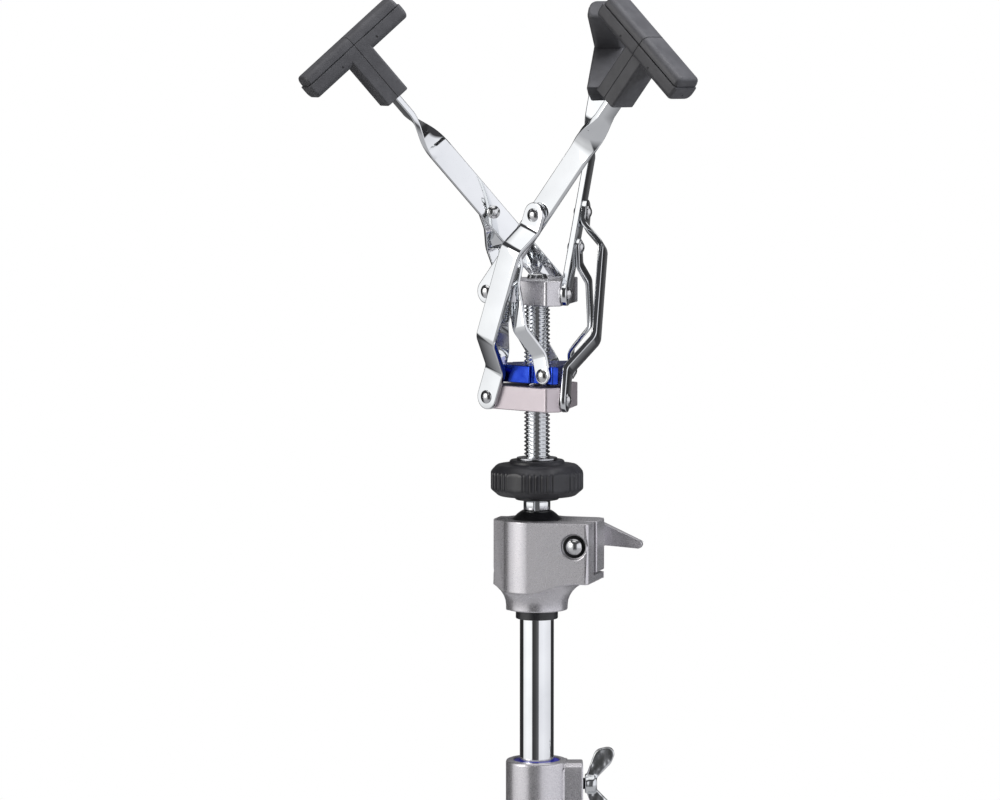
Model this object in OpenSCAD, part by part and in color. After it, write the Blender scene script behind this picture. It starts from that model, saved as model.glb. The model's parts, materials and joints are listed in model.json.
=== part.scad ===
// Snare drum stand: a folding three-arm basket on a ball tilter, a height tube and a tripod.
// Millimetres, +Z up. The origin is the point of the floor under the middle of the tubes.
// A swing plane is the upright plane that one basket arm moves in. Inside it, "along" runs
// outwards from the middle, and "out" is the distance from the rod square to that plane.

/* [Tripod] */
// Height of the lower brace pivots above the floor
brace_pivot_h = 40; // [38:1:60]
// Angle of the legs below level when the stand is set up
leg_angle = 28; // [22:1:34]
// Length of a brace, which is also the leg's length from its pivot to the brace
brace_len = 95; // [80:1:96]
// Distance of the leg and brace pivots from the middle
pivot_reach = 32; // [30:0.5:40]
// Direction of the first leg, seen from above
leg_turn = 30; // [0:5:120]
// Width of a leg strip
leg_w = 16; // [12:0.5:20]
// Thickness of a leg strip
leg_t = 2.2; // [1.6:0.1:3]
// Width of a brace strip
brace_w = 13; // [10:0.5:16]
// Thickness of a brace strip
brace_t = 2; // [1.6:0.1:3]
// Thickness of the lugs that the brace strips straddle
brace_lug = 8; // [6:0.5:10]
// Height of the foot's middle above the floor
foot_h = 12; // [9:0.5:16]
// Length of a rubber foot along its leg
foot_len = 38; // [30:1:50]
// Width of a rubber foot
foot_w = 26; // [22:0.5:34]
// Radius of the leg and brace rivets
leg_pin_r = 3; // [2.5:0.1:3.5]

/* [Base tube] */
// Outside radius of the base tube
base_r = 14.3; // [13.8:0.1:15]
// Wall of the base tube
base_wall = 1.2; // [0.8:0.1:1.4]
// Height of the base tube's lower end above the floor
base_bottom = 22; // [18:1:26]
// Outside radius of the leg collar and of the brace hub
collar_r = 21; // [19.5:0.5:22]
// Height of the leg collar and of the brace hub
collar_h = 24; // [20:1:30]

/* [Height clamp] */
// Height of the top of the height clamp above the floor
clamp_top = 298; // [290:1:330]
// Height of the clamp casting
clamp_h = 52; // [44:1:54]
// Outside radius of the clamp casting
clamp_r = 23; // [21:0.5:26]
// Reach of the bolt boss from the middle
boss_reach = 34.4; // [32:0.2:40]
// Width of the bolt boss
boss_w = 24; // [20:0.5:28]
// Drop of the clamp bolt below the top of the clamp
bolt_drop = 18.5; // [16:0.5:26]
// Radius of the clamp bolts' shanks
bolt_r = 4.2; // [3.5:0.1:5]
// Outside radius of the guide bush in the clamp
bush_r = 17; // [15.5:0.1:18]
// Length of the guide bush
bush_len = 28; // [20:1:32]
// Reach of a wing from the bolt's axis
wing_reach = 27.5; // [22:0.5:34]

/* [Height tube] */
// Outside radius of the height tube
tube_r = 12.7; // [12.2:0.1:12.8]
// Wall of the height tube
tube_wall = 1.5; // [1:0.1:2.5]
// Length of tube that shows between the height clamp and the tilter
tube_out = 106; // [102:1:150]
// Length of tube below the top of the height clamp
tube_in = 150; // [120:1:150]

/* [Tilter] */
// Turn of the tilter casting about the tube
tilter_turn = -16; // [-30:1:30]
// Height of the nylon bush under the casting
socket_bush_h = 6.8; // [4:0.2:12]
// Radius of the casting's lower end
socket_r = 22.9; // [20:0.1:25]
// Height of the flared part of the casting
flare_h = 22.6; // [18:0.2:30]
// Height of the clamp block above the flare
block_h = 45; // [43:0.5:50]
// Radius of the clamp block round the ball
block_r = 27; // [26:0.5:30]
// Distance from the ball to the block's right end
block_right = 46.3; // [44:0.1:50]
// Distance from the ball to the block's left end
block_left = 31; // [28:0.5:34]
// Distance from the ball to the back of the jaw
jaw_back = 22; // [20:0.5:24]
// Gap between the block and the jaw
jaw_gap = 3.2; // [2:0.1:4]
// Distance forward from the ball to the front of the lug on the block's left
lug_front = 17; // [14:0.5:20]
// Distance from the ball to the front of that gap
gap_front = 9.4; // [8:0.1:11]
// Height of the jaw
jaw_h = 38; // [36:0.5:39]
// Radius of the resin ball
ball_r = 22.2; // [20:0.1:22.5]
// Height of the ball's middle above the casting's lower end
ball_h = 54.5; // [53:0.5:57]
// Distance of the jaw bolt from the ball
jaw_bolt_x = 35.1; // [33.5:0.1:37]
// Height of the jaw bolt above the casting's lower end
jaw_bolt_h = 50.4; // [46:0.1:52]
// Length of the clamping lever from the bolt's axis to its tip
lever_len = 39; // [34:0.5:46]

/* [Rod and knob] */
// Outside radius of the threaded rod
rod_r = 9.6; // [9:0.1:9.7]
// Radius of the plain shank below the knob
shank_r = 10; // [9.8:0.1:10.5]
// Height of the arm pivots above the middle of the ball
pivot_h = 182; // [176:1:200]
// Width of the key groove in the rod
key_w = 3.6; // [2.5:0.1:5]
// Depth of the key groove
key_d = 1.5; // [1:0.1:2]
// Outside radius of the hand knob
knob_r = 35.4; // [30:0.2:40]
// Height of the knob's grip
knob_h = 23.3; // [18:0.1:26]
// Radius of the raised ring on the knob
knob_ring_r = 20.4; // [18:0.1:24]
// Height of the raised ring
knob_ring_h = 3; // [2:0.1:5]
// Height of the boss under the knob
knob_boss_h = 3.3; // [2:0.1:5]
// Radius of the boss under the knob
knob_boss_r = 16.3; // [15:0.1:20]
// Outside radius of the metal insert in the knob
insert_r = 14; // [12.5:0.1:14.5]
// Gap between the ball's casting and the knob
knob_gap = 14.1; // [12:0.1:18]

/* [Basket hub and collars] */
// Distance from the rod to the faces that carry the arms
face_out = 24.4; // [23:0.1:26]
// Half the width of those faces
face_half = 32; // [31:0.1:34]
// Height of the hub
hub_h = 18.5; // [16:0.5:24]
// Height of the lower collar
lower_collar_h = 17.8; // [16:0.2:19]
// Height of the upper collar
upper_collar_h = 13; // [11:0.2:13.4]
// Distance from the rod to the faces of the upper collar
upper_face_out = 22.4; // [21.5:0.1:23]
// Distance from the rod to the seats of the inner links
inner_seat_out = 19.2; // [18:0.1:20]
// Distance along the face from the middle to the arm pivots
arm_pivot_along = 24.7; // [24:0.1:25]
// Distance along the face from the middle to the inner links' lower pivots
inner_pivot_along = 25; // [24.5:0.1:25.2]

/* [Basket arms] */
// Direction of the first arm, seen from above
arm_turn = -43; // [-60:1:-30]
// Angle of the arms above level
arm_angle = 48.6; // [47.5:0.1:50]
// Width of an arm strap
arm_w = 18; // [16:0.2:20]
// Thickness of an arm strap
arm_t = 4.4; // [3.5:0.1:5]
// Distance from the pivot to the start of the twist
twist_from = 139; // [120:1:142]
// Length of the twist
twist_len = 32; // [22:1:36]
// Distance from the pivot to the middle of the rubber crossbar
arm_len = 238.7; // [230:0.1:260]
// Distance from the pivot to the outer link's rivet
outer_rivet_at = 76.9; // [76:0.1:78]
// Distance from the pivot to the inner link's rivet
inner_rivet_at = 43.4; // [43:0.1:45]

/* [Links] */
// Length of an outer link between its pivots
outer_len = 144.9; // [144:0.1:146]
// Width of an outer link
outer_w = 18.5; // [17:0.1:20]
// Thickness of an outer link
outer_t = 4; // [3:0.1:4.4]
// Distance from the rod to the middle of the outer link's bowed part
outer_bow = 46.3; // [45:0.1:52]
// Height between the outer links' pivots on the lower collar and the inner links' on the upper one
collar_step = 17.9; // [17.5:0.1:18.3]
// Width of an inner link
inner_w = 13; // [12:0.1:13.6]
// Thickness of an inner link
inner_t = 3; // [2.5:0.1:3.5]
// Distance from the rod to the middle of the inner link's bowed part
inner_bow = 37; // [36:0.1:38.5]
// Radius of the links' bends
bend_r = 7; // [6:0.5:9]
// Radius of the rivets' shanks
rivet_r = 3.2; // [2.8:0.1:3.6]
// Radius of the rivets' domed heads
head_r = 5; // [4.5:0.1:5.8]
// Height of the rivets' domed heads
head_h = 2.6; // [2:0.1:3.5]

/* [Rubber pads] */
// Height of the raised grip on the crossbar's outer side, with the groove below it
grip_h = 8; // [6:0.5:10]
// Width of the groove round the grip
groove_w = 1; // [0.6:0.1:1.6]
// Depth of the groove round the grip
groove_d = 2; // [1:0.1:3]
// Length of the crossbar
pad_len = 92; // [80:1:110]
// Thickness of the crossbar along the arm
pad_t = 19; // [16:0.5:24]
// Depth of the crossbar across the swing plane
pad_d = 24; // [22:0.5:28]
// Width of the sleeve over the arm
sleeve_w = 20; // [16:0.5:24]
// Depth of the sleeve across the swing plane
sleeve_d = 22.5; // [21.5:0.5:26]
// Length of the sleeve below the crossbar
sleeve_len = 39; // [36:1:42]
// Length of the arm's tang inside the pad
tang_in = 30; // [20:1:38]

/* [Fits] */
// Radial clearance of pins and shafts that turn or slide
run_fit = 0.08; // [0.05:0.01:0.1]
// Gap between flat faces that move past each other
side_gap = 0.2; // [0.1:0.05:0.3]
// Gap round the ball and other loose curved faces
loose_gap = 0.3; // [0.25:0.05:0.4]

/* [Hidden] */
$fn = 64;
eps = 0.01;
// How far a rivet's shank reaches into its head
sunk = 0.5;
ARMS = ["right", "back", "left"];

// Heights from the floor upwards
leg_pivot_h = brace_pivot_h + 2 * brace_len * sin(leg_angle);
leg_len = (leg_pivot_h - foot_h) / sin(leg_angle);
bolt_h = clamp_top - bolt_drop;
bush_bottom = clamp_top - 0.6 - bush_len;
tilter_h = clamp_top + tube_out + socket_bush_h;
block_bottom = tilter_h + flare_h;
block_top = block_bottom + block_h;
ball_z = tilter_h + ball_h;
ball_flat = sqrt(ball_r * ball_r - (shank_r + 1) * (shank_r + 1));
knob_z = block_top + knob_gap;
knob_top = knob_z + knob_boss_h + knob_h + knob_ring_h;
hub_z = ball_z + pivot_h;
washer_t = 1.6;

// Brake shoe, which ends inside the clamp's bore
shoe_r = bolt_r + 0.8;
shoe_end = sqrt(pow(bush_r, 2) - pow(shoe_r, 2));

// Nylon ring under the ball, in the tilter's local heights
seat_r = ball_r - 5.2;
seat_h = 8;
seat_z = ball_h - ball_r;

// Leg strips lie outside the brace strips, which lie outside the brace lugs
brace_in = brace_lug / 2 + side_gap;
leg_in = brace_in + brace_t + side_gap;
leg_lug = 2 * (leg_in - side_gap);

// Places in the swing plane, as [along, height over the arm pivots]
ARM_PIVOT = [-arm_pivot_along, 0];
ARM_DIR = [cos(arm_angle), sin(arm_angle)];
OUTER_RIVET = ARM_PIVOT + outer_rivet_at * ARM_DIR;
INNER_RIVET = ARM_PIVOT + inner_rivet_at * ARM_DIR;
OUTER_FOOT = foot_of(OUTER_RIVET, -arm_pivot_along, outer_len);
INNER_FOOT = [inner_pivot_along, OUTER_FOOT[1] + collar_step];
inner_len = norm(INNER_RIVET - INNER_FOOT);
function foot_of(top, along, length) = [along, top[1] - sqrt(pow(length, 2) - pow(top[0] - along, 2))];

// Distances out from the rod, measured to the inner face of each strap
arm_in = face_out + side_gap;
arm_out = arm_in + arm_t;
link_in = arm_out + side_gap;

// How far the links' lower rivets wander in the collars with the basket opened and closed
OUTER_WANDER = [[-2.4, -0.9], [-1.7, -2]];
INNER_WANDER = [[-1.2, -1.4], [-1.7, -0.8]];

// Small shapes

// Flat bar from a to b with round ends, drawn flat
module bar2d(a, b, w) {
    run = b - a;
    translate(a) rotate(atan2(run[1], run[0])) {
        translate([0, -w / 2]) square([norm(run), w]);
        circle(d = w);
        translate([norm(run), 0]) circle(d = w);
    }
}

// Rectangle with round corners, drawn flat about its middle
module round_rect2d(x, y, r) {
    square([x - 2 * r, y], center = true);
    square([x, y - 2 * r], center = true);
    for (i = [-1, 1], j = [-1, 1]) translate([i * (x / 2 - r), j * (y / 2 - r)]) circle(r);
}

// Stands a drawing up in the swing plane, from one distance out to the next
module upright(from, thick) {
    translate([0, -from, 0]) rotate([90, 0, 0]) linear_extrude(thick) children();
}

// Round bar square to the swing plane
module cross_bar(at, from, to, r) {
    translate([at[0], -from, at[1]]) rotate([90, 0, 0]) cylinder(r = r, h = to - from);
}

// Domed rivet head on a flat face, rising along +Z
module dome(r, h) {
    ball = (r * r + h * h) / (2 * h);
    rotate_extrude() intersection() {
        translate([0, h - ball]) circle(ball);
        square([r, h]);
    }
}

// Domed head square to the swing plane, on a face at the given distance out
module dome_out(at, from, way = 1) {
    translate([at[0], -from, at[1]]) rotate([90 * way, 0, 0]) dome(head_r, head_h);
}

module tube(r, wall, h) {
    difference() {
        cylinder(r = r, h = h);
        translate([0, 0, -1]) cylinder(r = r - wall, h = h + 2);
    }
}

// Bent strip: a path of points made into an outline of even thickness

function unit(v) = v / norm(v);
function normal_of(a, b) = let (u = unit(b - a)) [-u[1], u[0]];
function side_of(pts, h) = [
    for (i = [0 : len(pts) - 1])
        let (before = normal_of(pts[max(i - 1, 0)], pts[max(i, 1)]),
             after = normal_of(pts[min(i, len(pts) - 2)], pts[min(i + 1, len(pts) - 1)]),
             mid = unit(before + after))
        pts[i] + mid * h / (mid * before)
];
function turned(pts) = [for (i = [len(pts) - 1 : -1 : 0]) pts[i]];

// Points of a round bend of radius r at corner b, between a and c
function bend_pts(a, b, c, r) =
    let (u = unit(a - b), v = unit(c - b),
         half = acos(u * v) / 2,
         back = r / tan(half),
         mid = b + unit(u + v) * r / sin(half),
         p = b + u * back - mid,
         q = b + v * back - mid,
         sweep = 180 - 2 * half,
         way = sign(p[0] * q[1] - p[1] * q[0]))
    [for (i = [0 : 6]) let (t = way * sweep * i / 6)
        mid + [p[0] * cos(t) - p[1] * sin(t), p[0] * sin(t) + p[1] * cos(t)]];
function rounded(pts, r) = [
    for (i = [0 : len(pts) - 1])
        each (i == 0 || i == len(pts) - 1) ? [pts[i]] : bend_pts(pts[i - 1], pts[i], pts[i + 1], r)
];

// Frames

module swing_plane(k) {
    translate([0, 0, hub_z]) rotate(arm_turn + 120 * k) children();
}

module leg_plane(k) {
    rotate(leg_turn + 120 * k) children();
}

// Local x runs along the arm from its pivot, z lies across it in the swing plane
module along_arm(k) {
    swing_plane(k) translate([ARM_PIVOT[0], -(arm_in + arm_t / 2), ARM_PIVOT[1]])
        rotate([0, -arm_angle, 0]) children();
}

module tilter_frame() {
    translate([0, 0, tilter_h]) rotate(tilter_turn) children();
}

// Tripod

module base_tube() {
    color("gainsboro") translate([0, 0, base_bottom]) tube(base_r, base_wall, bush_bottom - base_bottom);
}

module base_tube_plug() {
    plug_in = 10;
    color("dimgray") translate([0, 0, base_bottom]) {
        cylinder(r = base_r - base_wall, h = plug_in);
        translate([0, 0, -3]) cylinder(r1 = base_r - 1.5, r2 = base_r, h = 3);
    }
}

// Round collar with three lugs for the strips to straddle
module lug_ring(lug, bore) {
    lug_h = leg_w - 2;
    difference() {
        union() {
            cylinder(r = collar_r, h = collar_h, center = true);
            for (k = [0 : 2]) leg_plane(k) rotate([90, 0, 0]) {
                linear_extrude(lug, center = true)
                    bar2d([base_r + 2, 0], [pivot_reach, 0], lug_h);
            }
        }
        cylinder(r = bore, h = collar_h + 2, center = true);
        for (k = [0 : 2]) leg_plane(k) leg_pin([pivot_reach, 0], lug + 2, leg_pin_r);
    }
}

// Pin across a leg plane, centred on it
module leg_pin(at, length, r) {
    translate([at[0], 0, at[1]]) rotate([90, 0, 0]) cylinder(r = r, h = length, center = true);
}

// Pin with a domed head at each end, over strips that reach to the given half width
module leg_rivet(at, half) {
    leg_pin(at, 2 * half, leg_pin_r);
    for (way = [-1, 1])
        translate([at[0], -way * half, at[1]]) rotate([90 * way, 0, 0]) dome(leg_pin_r + 1.8, 2);
}

module brace_hub() {
    color("silver") translate([0, 0, brace_pivot_h]) lug_ring(brace_lug, base_r);
}

module brace_hub_pins() {
    color("gainsboro") for (k = [0 : 2]) leg_plane(k)
        leg_rivet([pivot_reach, brace_pivot_h], brace_in + brace_t + side_gap);
}

module leg_collar() {
    boss_d = 18;
    color("silver") translate([0, 0, leg_pivot_h]) difference() {
        union() {
            lug_ring(leg_lug, base_r + run_fit);
            rotate(leg_turn - 60) rotate([0, 90, 0]) translate([0, 0, base_r + 2])
                cylinder(d = boss_d, h = collar_r + 6 - base_r - 2);
        }
        cylinder(r = base_r + run_fit, h = collar_h + 2, center = true);
        rotate(leg_turn - 60) rotate([0, 90, 0]) cylinder(r = bolt_r + run_fit, h = collar_r + 8);
    }
}

module leg_collar_pins() {
    color("gainsboro") for (k = [0 : 2]) leg_plane(k)
        leg_rivet([pivot_reach, leg_pivot_h], leg_in + leg_t + side_gap);
}

module leg_wing_bolt() {
    color("gainsboro") translate([0, 0, leg_pivot_h]) rotate(leg_turn - 60) rotate([0, 90, 0]) {
        translate([0, 0, base_r + 0.5]) cylinder(r = bolt_r, h = collar_r + 9 - base_r);
        translate([0, 0, collar_r + 7.5]) wing_head();
    }
}

// Two flat strips, one on each side of the leg plane
module strip_pair(from, thick) {
    for (way = [-1, 1]) translate([0, way * (from + thick / 2), 0]) rotate([90, 0, 0])
        linear_extrude(thick, center = true) children();
}

function knee() = [pivot_reach + brace_len * cos(leg_angle), brace_pivot_h + brace_len * sin(leg_angle)];
function toe() = [pivot_reach + leg_len * cos(leg_angle), foot_h];

module leg(k) {
    top = [pivot_reach, leg_pivot_h];
    color("gainsboro") leg_plane(k) {
        strip_pair(leg_in, leg_t) difference() {
            bar2d(top, toe(), leg_w);
            translate(top) circle(leg_pin_r + run_fit);
        }
        leg_rivet(knee(), leg_in + leg_t);
    }
}

module brace(k) {
    color("gainsboro") leg_plane(k) strip_pair(brace_in, brace_t) difference() {
        bar2d([pivot_reach, brace_pivot_h], knee(), brace_w);
        translate([pivot_reach, brace_pivot_h]) circle(leg_pin_r + run_fit);
        translate(knee()) circle(leg_pin_r + run_fit);
    }
}

module foot(k) {
    shell = foot_w / 2;
    color("dimgray") leg_plane(k) difference() {
        intersection() {
            translate([toe()[0] - foot_len, -foot_w, 0]) cube([3 * foot_len, 2 * foot_w, 2 * foot_len]);
            union() {
                hull() {
                    translate([toe()[0], 0, 0]) cylinder(r = shell, h = 3, $fn = 32);
                    translate([toe()[0], 0, foot_h]) rotate([90, 0, 0])
                        cylinder(r = leg_w / 2 + 2.5, h = foot_w - 4, center = true, $fn = 32);
                }
                translate([toe()[0], 0, foot_h]) rotate([0, leg_angle + 180, 0]) rotate([0, 90, 0])
                    linear_extrude(foot_len - shell) round_rect2d(leg_w + 4, foot_w - 4, 4);
            }
        }
        strip_pair(leg_in, leg_t) bar2d([pivot_reach, leg_pivot_h], toe(), leg_w);
    }
}

// Height clamp

// Two wings on a hub, about the bolt's axis along +Z, with the hub's face at the origin
module wing_head() {
    hub_r = 7.2;
    wing_t = 5;
    cylinder(r = hub_r, h = 7);
    translate([0, 0, 7]) cylinder(r1 = hub_r, r2 = hub_r - 2, h = 2);
    for (way = [0, 180]) rotate(way) rotate([90, 0, 0]) linear_extrude(wing_t, center = true) {
        hull() {
            translate([hub_r - 3, 4]) circle(3.4, $fn = 32);
            translate([wing_reach - 8, 13.5]) circle(7.2, $fn = 32);
        }
        hull() {
            translate([wing_reach - 8, 13.5]) circle(7.2, $fn = 32);
            translate([wing_reach - 5, 17]) circle(5, $fn = 32);
        }
    }
}

module height_clamp() {
    color("silver") difference() {
        union() {
            translate([0, 0, clamp_top - clamp_h]) cylinder(r = clamp_r, h = clamp_h - 1.2);
            translate([0, 0, clamp_top - 1.2]) cylinder(r1 = clamp_r, r2 = clamp_r - 1.2, h = 1.2);
            translate([0, 0, bolt_h]) rotate([90, 0, 90]) linear_extrude(boss_reach)
                round_rect2d(boss_w, 2 * bolt_drop - 3, 6);
        }
        translate([0, 0, clamp_top - clamp_h - 1]) cylinder(r = base_r, h = clamp_h);
        translate([0, 0, bush_bottom]) cylinder(r = bush_r, h = bush_len + 2);
        translate([0, 0, bolt_h]) rotate([0, 90, 0]) cylinder(r = bolt_r + run_fit, h = boss_reach + 5);
    }
}

module height_clamp_bush() {
    color("midnightblue") translate([0, 0, bush_bottom]) difference() {
        cylinder(r = bush_r, h = bush_len);
        translate([0, 0, -1]) cylinder(r = tube_r + run_fit, h = bush_len + 2);
        translate([0, 0, bolt_h - bush_bottom]) rotate([0, 90, 0]) cylinder(r = bolt_r + 1, h = bush_r + 2);
    }
}

// Nylon shoe that the bolt presses against the tube
module height_brake_shoe() {
    color("dimgray") translate([0, 0, bolt_h]) difference() {
        rotate([0, 90, 0]) cylinder(r = shoe_r, h = shoe_end);
        cylinder(r = tube_r + run_fit, h = 30, center = true);
    }
}

module height_bolt() {
    color("black") translate([0, 0, bolt_h]) rotate([0, 90, 0]) translate([0, 0, shoe_end])
        cylinder(r = bolt_r, h = boss_reach + 1.5 - shoe_end);
}

module height_wing() {
    color("gainsboro") translate([boss_reach + 1.5, 0, bolt_h]) rotate([0, 90, 0]) wing_head();
}

// Height tube

module tube_guide() {
    guide_h = 12;
    color("dimgray") translate([0, 0, clamp_top - tube_in - guide_h]) {
        cylinder(r = base_r - base_wall - run_fit, h = guide_h - side_gap);
        cylinder(r = tube_r - tube_wall - run_fit, h = guide_h + 10);
    }
}

module height_tube() {
    up_in = flare_h + 6;
    color("gainsboro") translate([0, 0, clamp_top - tube_in])
        tube(tube_r, tube_wall, tube_in + tube_out + socket_bush_h + up_in);
}

module socket_bush() {
    sleeve = 18;
    color("dimgray") translate([0, 0, tilter_h - socket_bush_h]) difference() {
        union() {
            cylinder(r = tube_r + 3, h = socket_bush_h);
            cylinder(r = tube_r + 1.6, h = socket_bush_h + sleeve);
        }
        translate([0, 0, -1]) cylinder(r = tube_r, h = socket_bush_h + sleeve + 2);
    }
}

// Ball tilter

// Plan of the clamp block, about the ball
module block_plan() {
    circle(block_r, $fn = 64);
    translate([0, -block_r]) square([block_right - 3, block_r]);
    translate([0, -block_r + 3]) square([block_right, block_r + jaw_back - 6]);
    translate([block_right - 3, -block_r + 3]) circle(3, $fn = 24);
    translate([0, jaw_back - 8]) square([block_right - 6, 8]);
    translate([-block_left, -lug_front]) square([block_left, lug_front + gap_front]);
    translate([block_right - 6, jaw_back - 6]) circle(6, $fn = 24);
}

// Space that the jaw and its gap take out of the casting
module jaw_space(h, from) {
    translate([-60, from, flare_h + block_h - h]) cube([120, 60, h + 1]);
}

// Round cuts that the ball, the shank and the jaw bolt need
module ball_cuts() {
    translate([0, 0, ball_h]) {
        sphere(ball_r + loose_gap, $fn = 96);
        cylinder(r = sqrt(pow(ball_r + loose_gap, 2) - pow(flare_h + block_h - ball_h, 2)), h = 30);
    }
    translate([jaw_bolt_x, 0, jaw_bolt_h]) rotate([90, 0, 0])
        cylinder(r = bolt_r + run_fit, h = 120, center = true);
}

// Neck that flares out in a hollow curve to the underside of the block
module neck() {
    steps = 8;
    foot = 3;
    curve = [
        for (i = [0 : steps]) let (t = 90 * i / steps)
            [socket_r + (block_right - socket_r) * (1 - cos(t)), foot + (flare_h - foot) * sin(t)]
    ];
    intersection() {
        rotate_extrude($fn = 64) polygon(concat([[0, 0], [socket_r, 0]], curve, [[0, flare_h]]));
        linear_extrude(flare_h + eps) block_plan();
    }
}

module tilter_body() {
    color("silver") tilter_frame() difference() {
        union() {
            neck();
            translate([0, 0, flare_h]) linear_extrude(block_h) block_plan();
        }
        jaw_space(jaw_h + 2, -gap_front);
        ball_cuts();
        translate([0, 0, seat_z]) cylinder(r = seat_r + run_fit, h = seat_h + 2);
        translate([0, 0, -1]) cylinder(r = tube_r + 1.6, h = 20);
        translate([0, 0, 18]) cylinder(r = tube_r, h = flare_h - 12);
        translate([jaw_bolt_x, -block_r - 1, jaw_bolt_h]) rotate([-90, 0, 0]) cylinder(r = 9.5, h = 4);
    }
}

module tilter_jaw() {
    rim = block_right + 1.3;
    color("silver") tilter_frame() difference() {
        union() {
            intersection() {
                jaw_space(jaw_h, -gap_front + jaw_gap);
                translate([0, 0, flare_h]) linear_extrude(block_h) union() {
                    block_plan();
                    translate([0, -gap_front]) square([rim, gap_front + jaw_back - 6]);
                }
            }
            translate([-block_left, -gap_front, flare_h + block_h - jaw_h])
                cube([6, jaw_gap + 1, jaw_h]);
        }
        ball_cuts();
        translate([0, 0, seat_z]) cylinder(r = seat_r + run_fit, h = seat_h + 2);
    }
}

module jaw_bolt() {
    shank_end = jaw_back + 12;
    color("gainsboro") tilter_frame() translate([jaw_bolt_x, -block_r + 3, jaw_bolt_h]) rotate([-90, 0, 0]) {
        cylinder(r = bolt_r, h = block_r - 3 + shank_end);
        rotate([180, 0, 0]) dome(6, 3);
        translate([0, 0, -0.5]) cylinder(r = 6, h = 0.5);
    }
}

module tilter_lever() {
    lever_t = 9;
    color("silver") tilter_frame() translate([jaw_bolt_x, jaw_back + side_gap, jaw_bolt_h]) rotate([-90, 0, 0])
        difference() {
            union() {
                cylinder(r = 9.5, h = 14);
                hull() {
                    translate([2, -5, 4.4]) cylinder(r = 9, h = lever_t - 1.4, $fn = 32);
                    translate([lever_len - 4, 3, 5]) cylinder(r = 3.2, h = 5, $fn = 32);
                }
            }
            translate([0, 0, -1]) cylinder(r = bolt_r + run_fit, h = 13.2);
        }
}

module ball_seat_ring() {
    color("dimgray") tilter_frame() difference() {
        translate([0, 0, seat_z]) cylinder(r = seat_r, h = seat_h);
        translate([0, 0, ball_h]) sphere(ball_r + loose_gap, $fn = 96);
        cylinder(r = 7, h = 200);
    }
}

module tilt_ball() {
    spigot_r = shank_r - 4;
    color("black") translate([0, 0, ball_z]) difference() {
        intersection() {
            sphere(ball_r, $fn = 96);
            translate([0, 0, -2 * ball_r]) cylinder(r = 2 * ball_r, h = 2 * ball_r + ball_flat);
        }
        translate([0, 0, -10]) cylinder(r = spigot_r + run_fit, h = 60);
    }
}

// Rod, hub and collars

module key_cut(w, d, from, h) {
    translate([-w / 2, -rod_r - 1, from]) cube([w, d + 1, h]);
}

module threaded_rod() {
    spigot_r = shank_r - 4;
    shank_top = knob_z - ball_z;
    rod_top = hub_z + hub_h / 2 - 4 - ball_z;
    color("gainsboro") translate([0, 0, ball_z]) difference() {
        union() {
            translate([0, 0, -9.5]) cylinder(r = spigot_r, h = ball_flat + 12);
            translate([0, 0, ball_flat + side_gap]) cylinder(r = shank_r, h = shank_top - ball_flat - 2);
            translate([0, 0, shank_top - 2 + side_gap]) cylinder(r1 = shank_r, r2 = rod_r, h = 1);
            translate([0, 0, ball_flat + 1]) cylinder(r = rod_r, h = rod_top - ball_flat - 1);
        }
        key_cut(key_w, key_d, ball_flat, rod_top);
    }
}

// Triangular plan with its corners cut off and rounded
module triangle_plan(out, half) {
    round = 3;
    hull() for (k = [0 : 2]) rotate(120 * k) for (way = [-1, 1])
        translate([way * (half - round), -(out - round)]) circle(round, $fn = 24);
}

module triangle_block(out, half, h) {
    linear_extrude(h, center = true) triangle_plan(out, half);
}

module basket_hub() {
    cap = 4;
    color("silver") swing_plane(0) difference() {
        triangle_block(face_out, face_half, hub_h);
        translate([0, 0, -hub_h / 2 - 1]) cylinder(r = rod_r, h = hub_h + 1 - cap);
        translate([0, 0, hub_h / 2 - cap - 1]) cylinder(r = 4, h = cap + 3);
        for (k = [0 : 2]) rotate(120 * k) cross_bar(ARM_PIVOT, face_out - 14, face_out + 1, rivet_r);
    }
}

module hub_cap_screw() {
    color("gainsboro") translate([0, 0, hub_z + hub_h / 2]) {
        translate([0, 0, -4]) cylinder(r = 4, h = 4);
        difference() {
            cylinder(r1 = 8, r2 = 6.5, h = 3.5);
            translate([0, 0, 1.5]) cylinder(r = 3, h = 3, $fn = 6);
        }
    }
}

module hub_pins() {
    color("gainsboro") for (k = [0 : 2]) swing_plane(k) {
        cross_bar(ARM_PIVOT, face_out - 14, link_in + sunk, rivet_r);
        dome_out(ARM_PIVOT, link_in);
    }
}

// Collar that slides on the rod, with a key in the rod's groove
module sliding_collar(out, h) {
    difference() {
        triangle_block(out, face_half, h);
        rotate(-arm_turn) difference() {
            cylinder(r = rod_r + run_fit, h = h + 2, center = true);
            translate([-key_w / 2 + side_gap, -rod_r - 3, -h])
                cube([key_w - 2 * side_gap, 3 + key_d - side_gap, 2 * h]);
        }
    }
}

// Slot behind a link's end, where its lower rivet has room to wander
module wander_slot(along, face, ends) {
    depth = 9;
    for (end = ends) upright(face - depth, depth + 1)
        bar2d([along, 0], [along, 0] + end, 2 * (rivet_r + 2 * loose_gap));
}

module upper_collar() {
    step = 12.5;
    color("mediumblue") swing_plane(0) translate([0, 0, INNER_FOOT[1]]) difference() {
        sliding_collar(upper_face_out, upper_collar_h);
        for (k = [0 : 2]) rotate(120 * k) {
            translate([step, -inner_seat_out - 20, -20]) cube([40, 20, 40]);
            wander_slot(inner_pivot_along, inner_seat_out, INNER_WANDER);
        }
    }
}

module lower_collar() {
    color("gainsboro") swing_plane(0) translate([0, 0, OUTER_FOOT[1]]) difference() {
        sliding_collar(face_out, lower_collar_h);
        for (k = [0 : 2]) rotate(120 * k) wander_slot(-arm_pivot_along, face_out, OUTER_WANDER);
    }
}

// Knob

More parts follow.
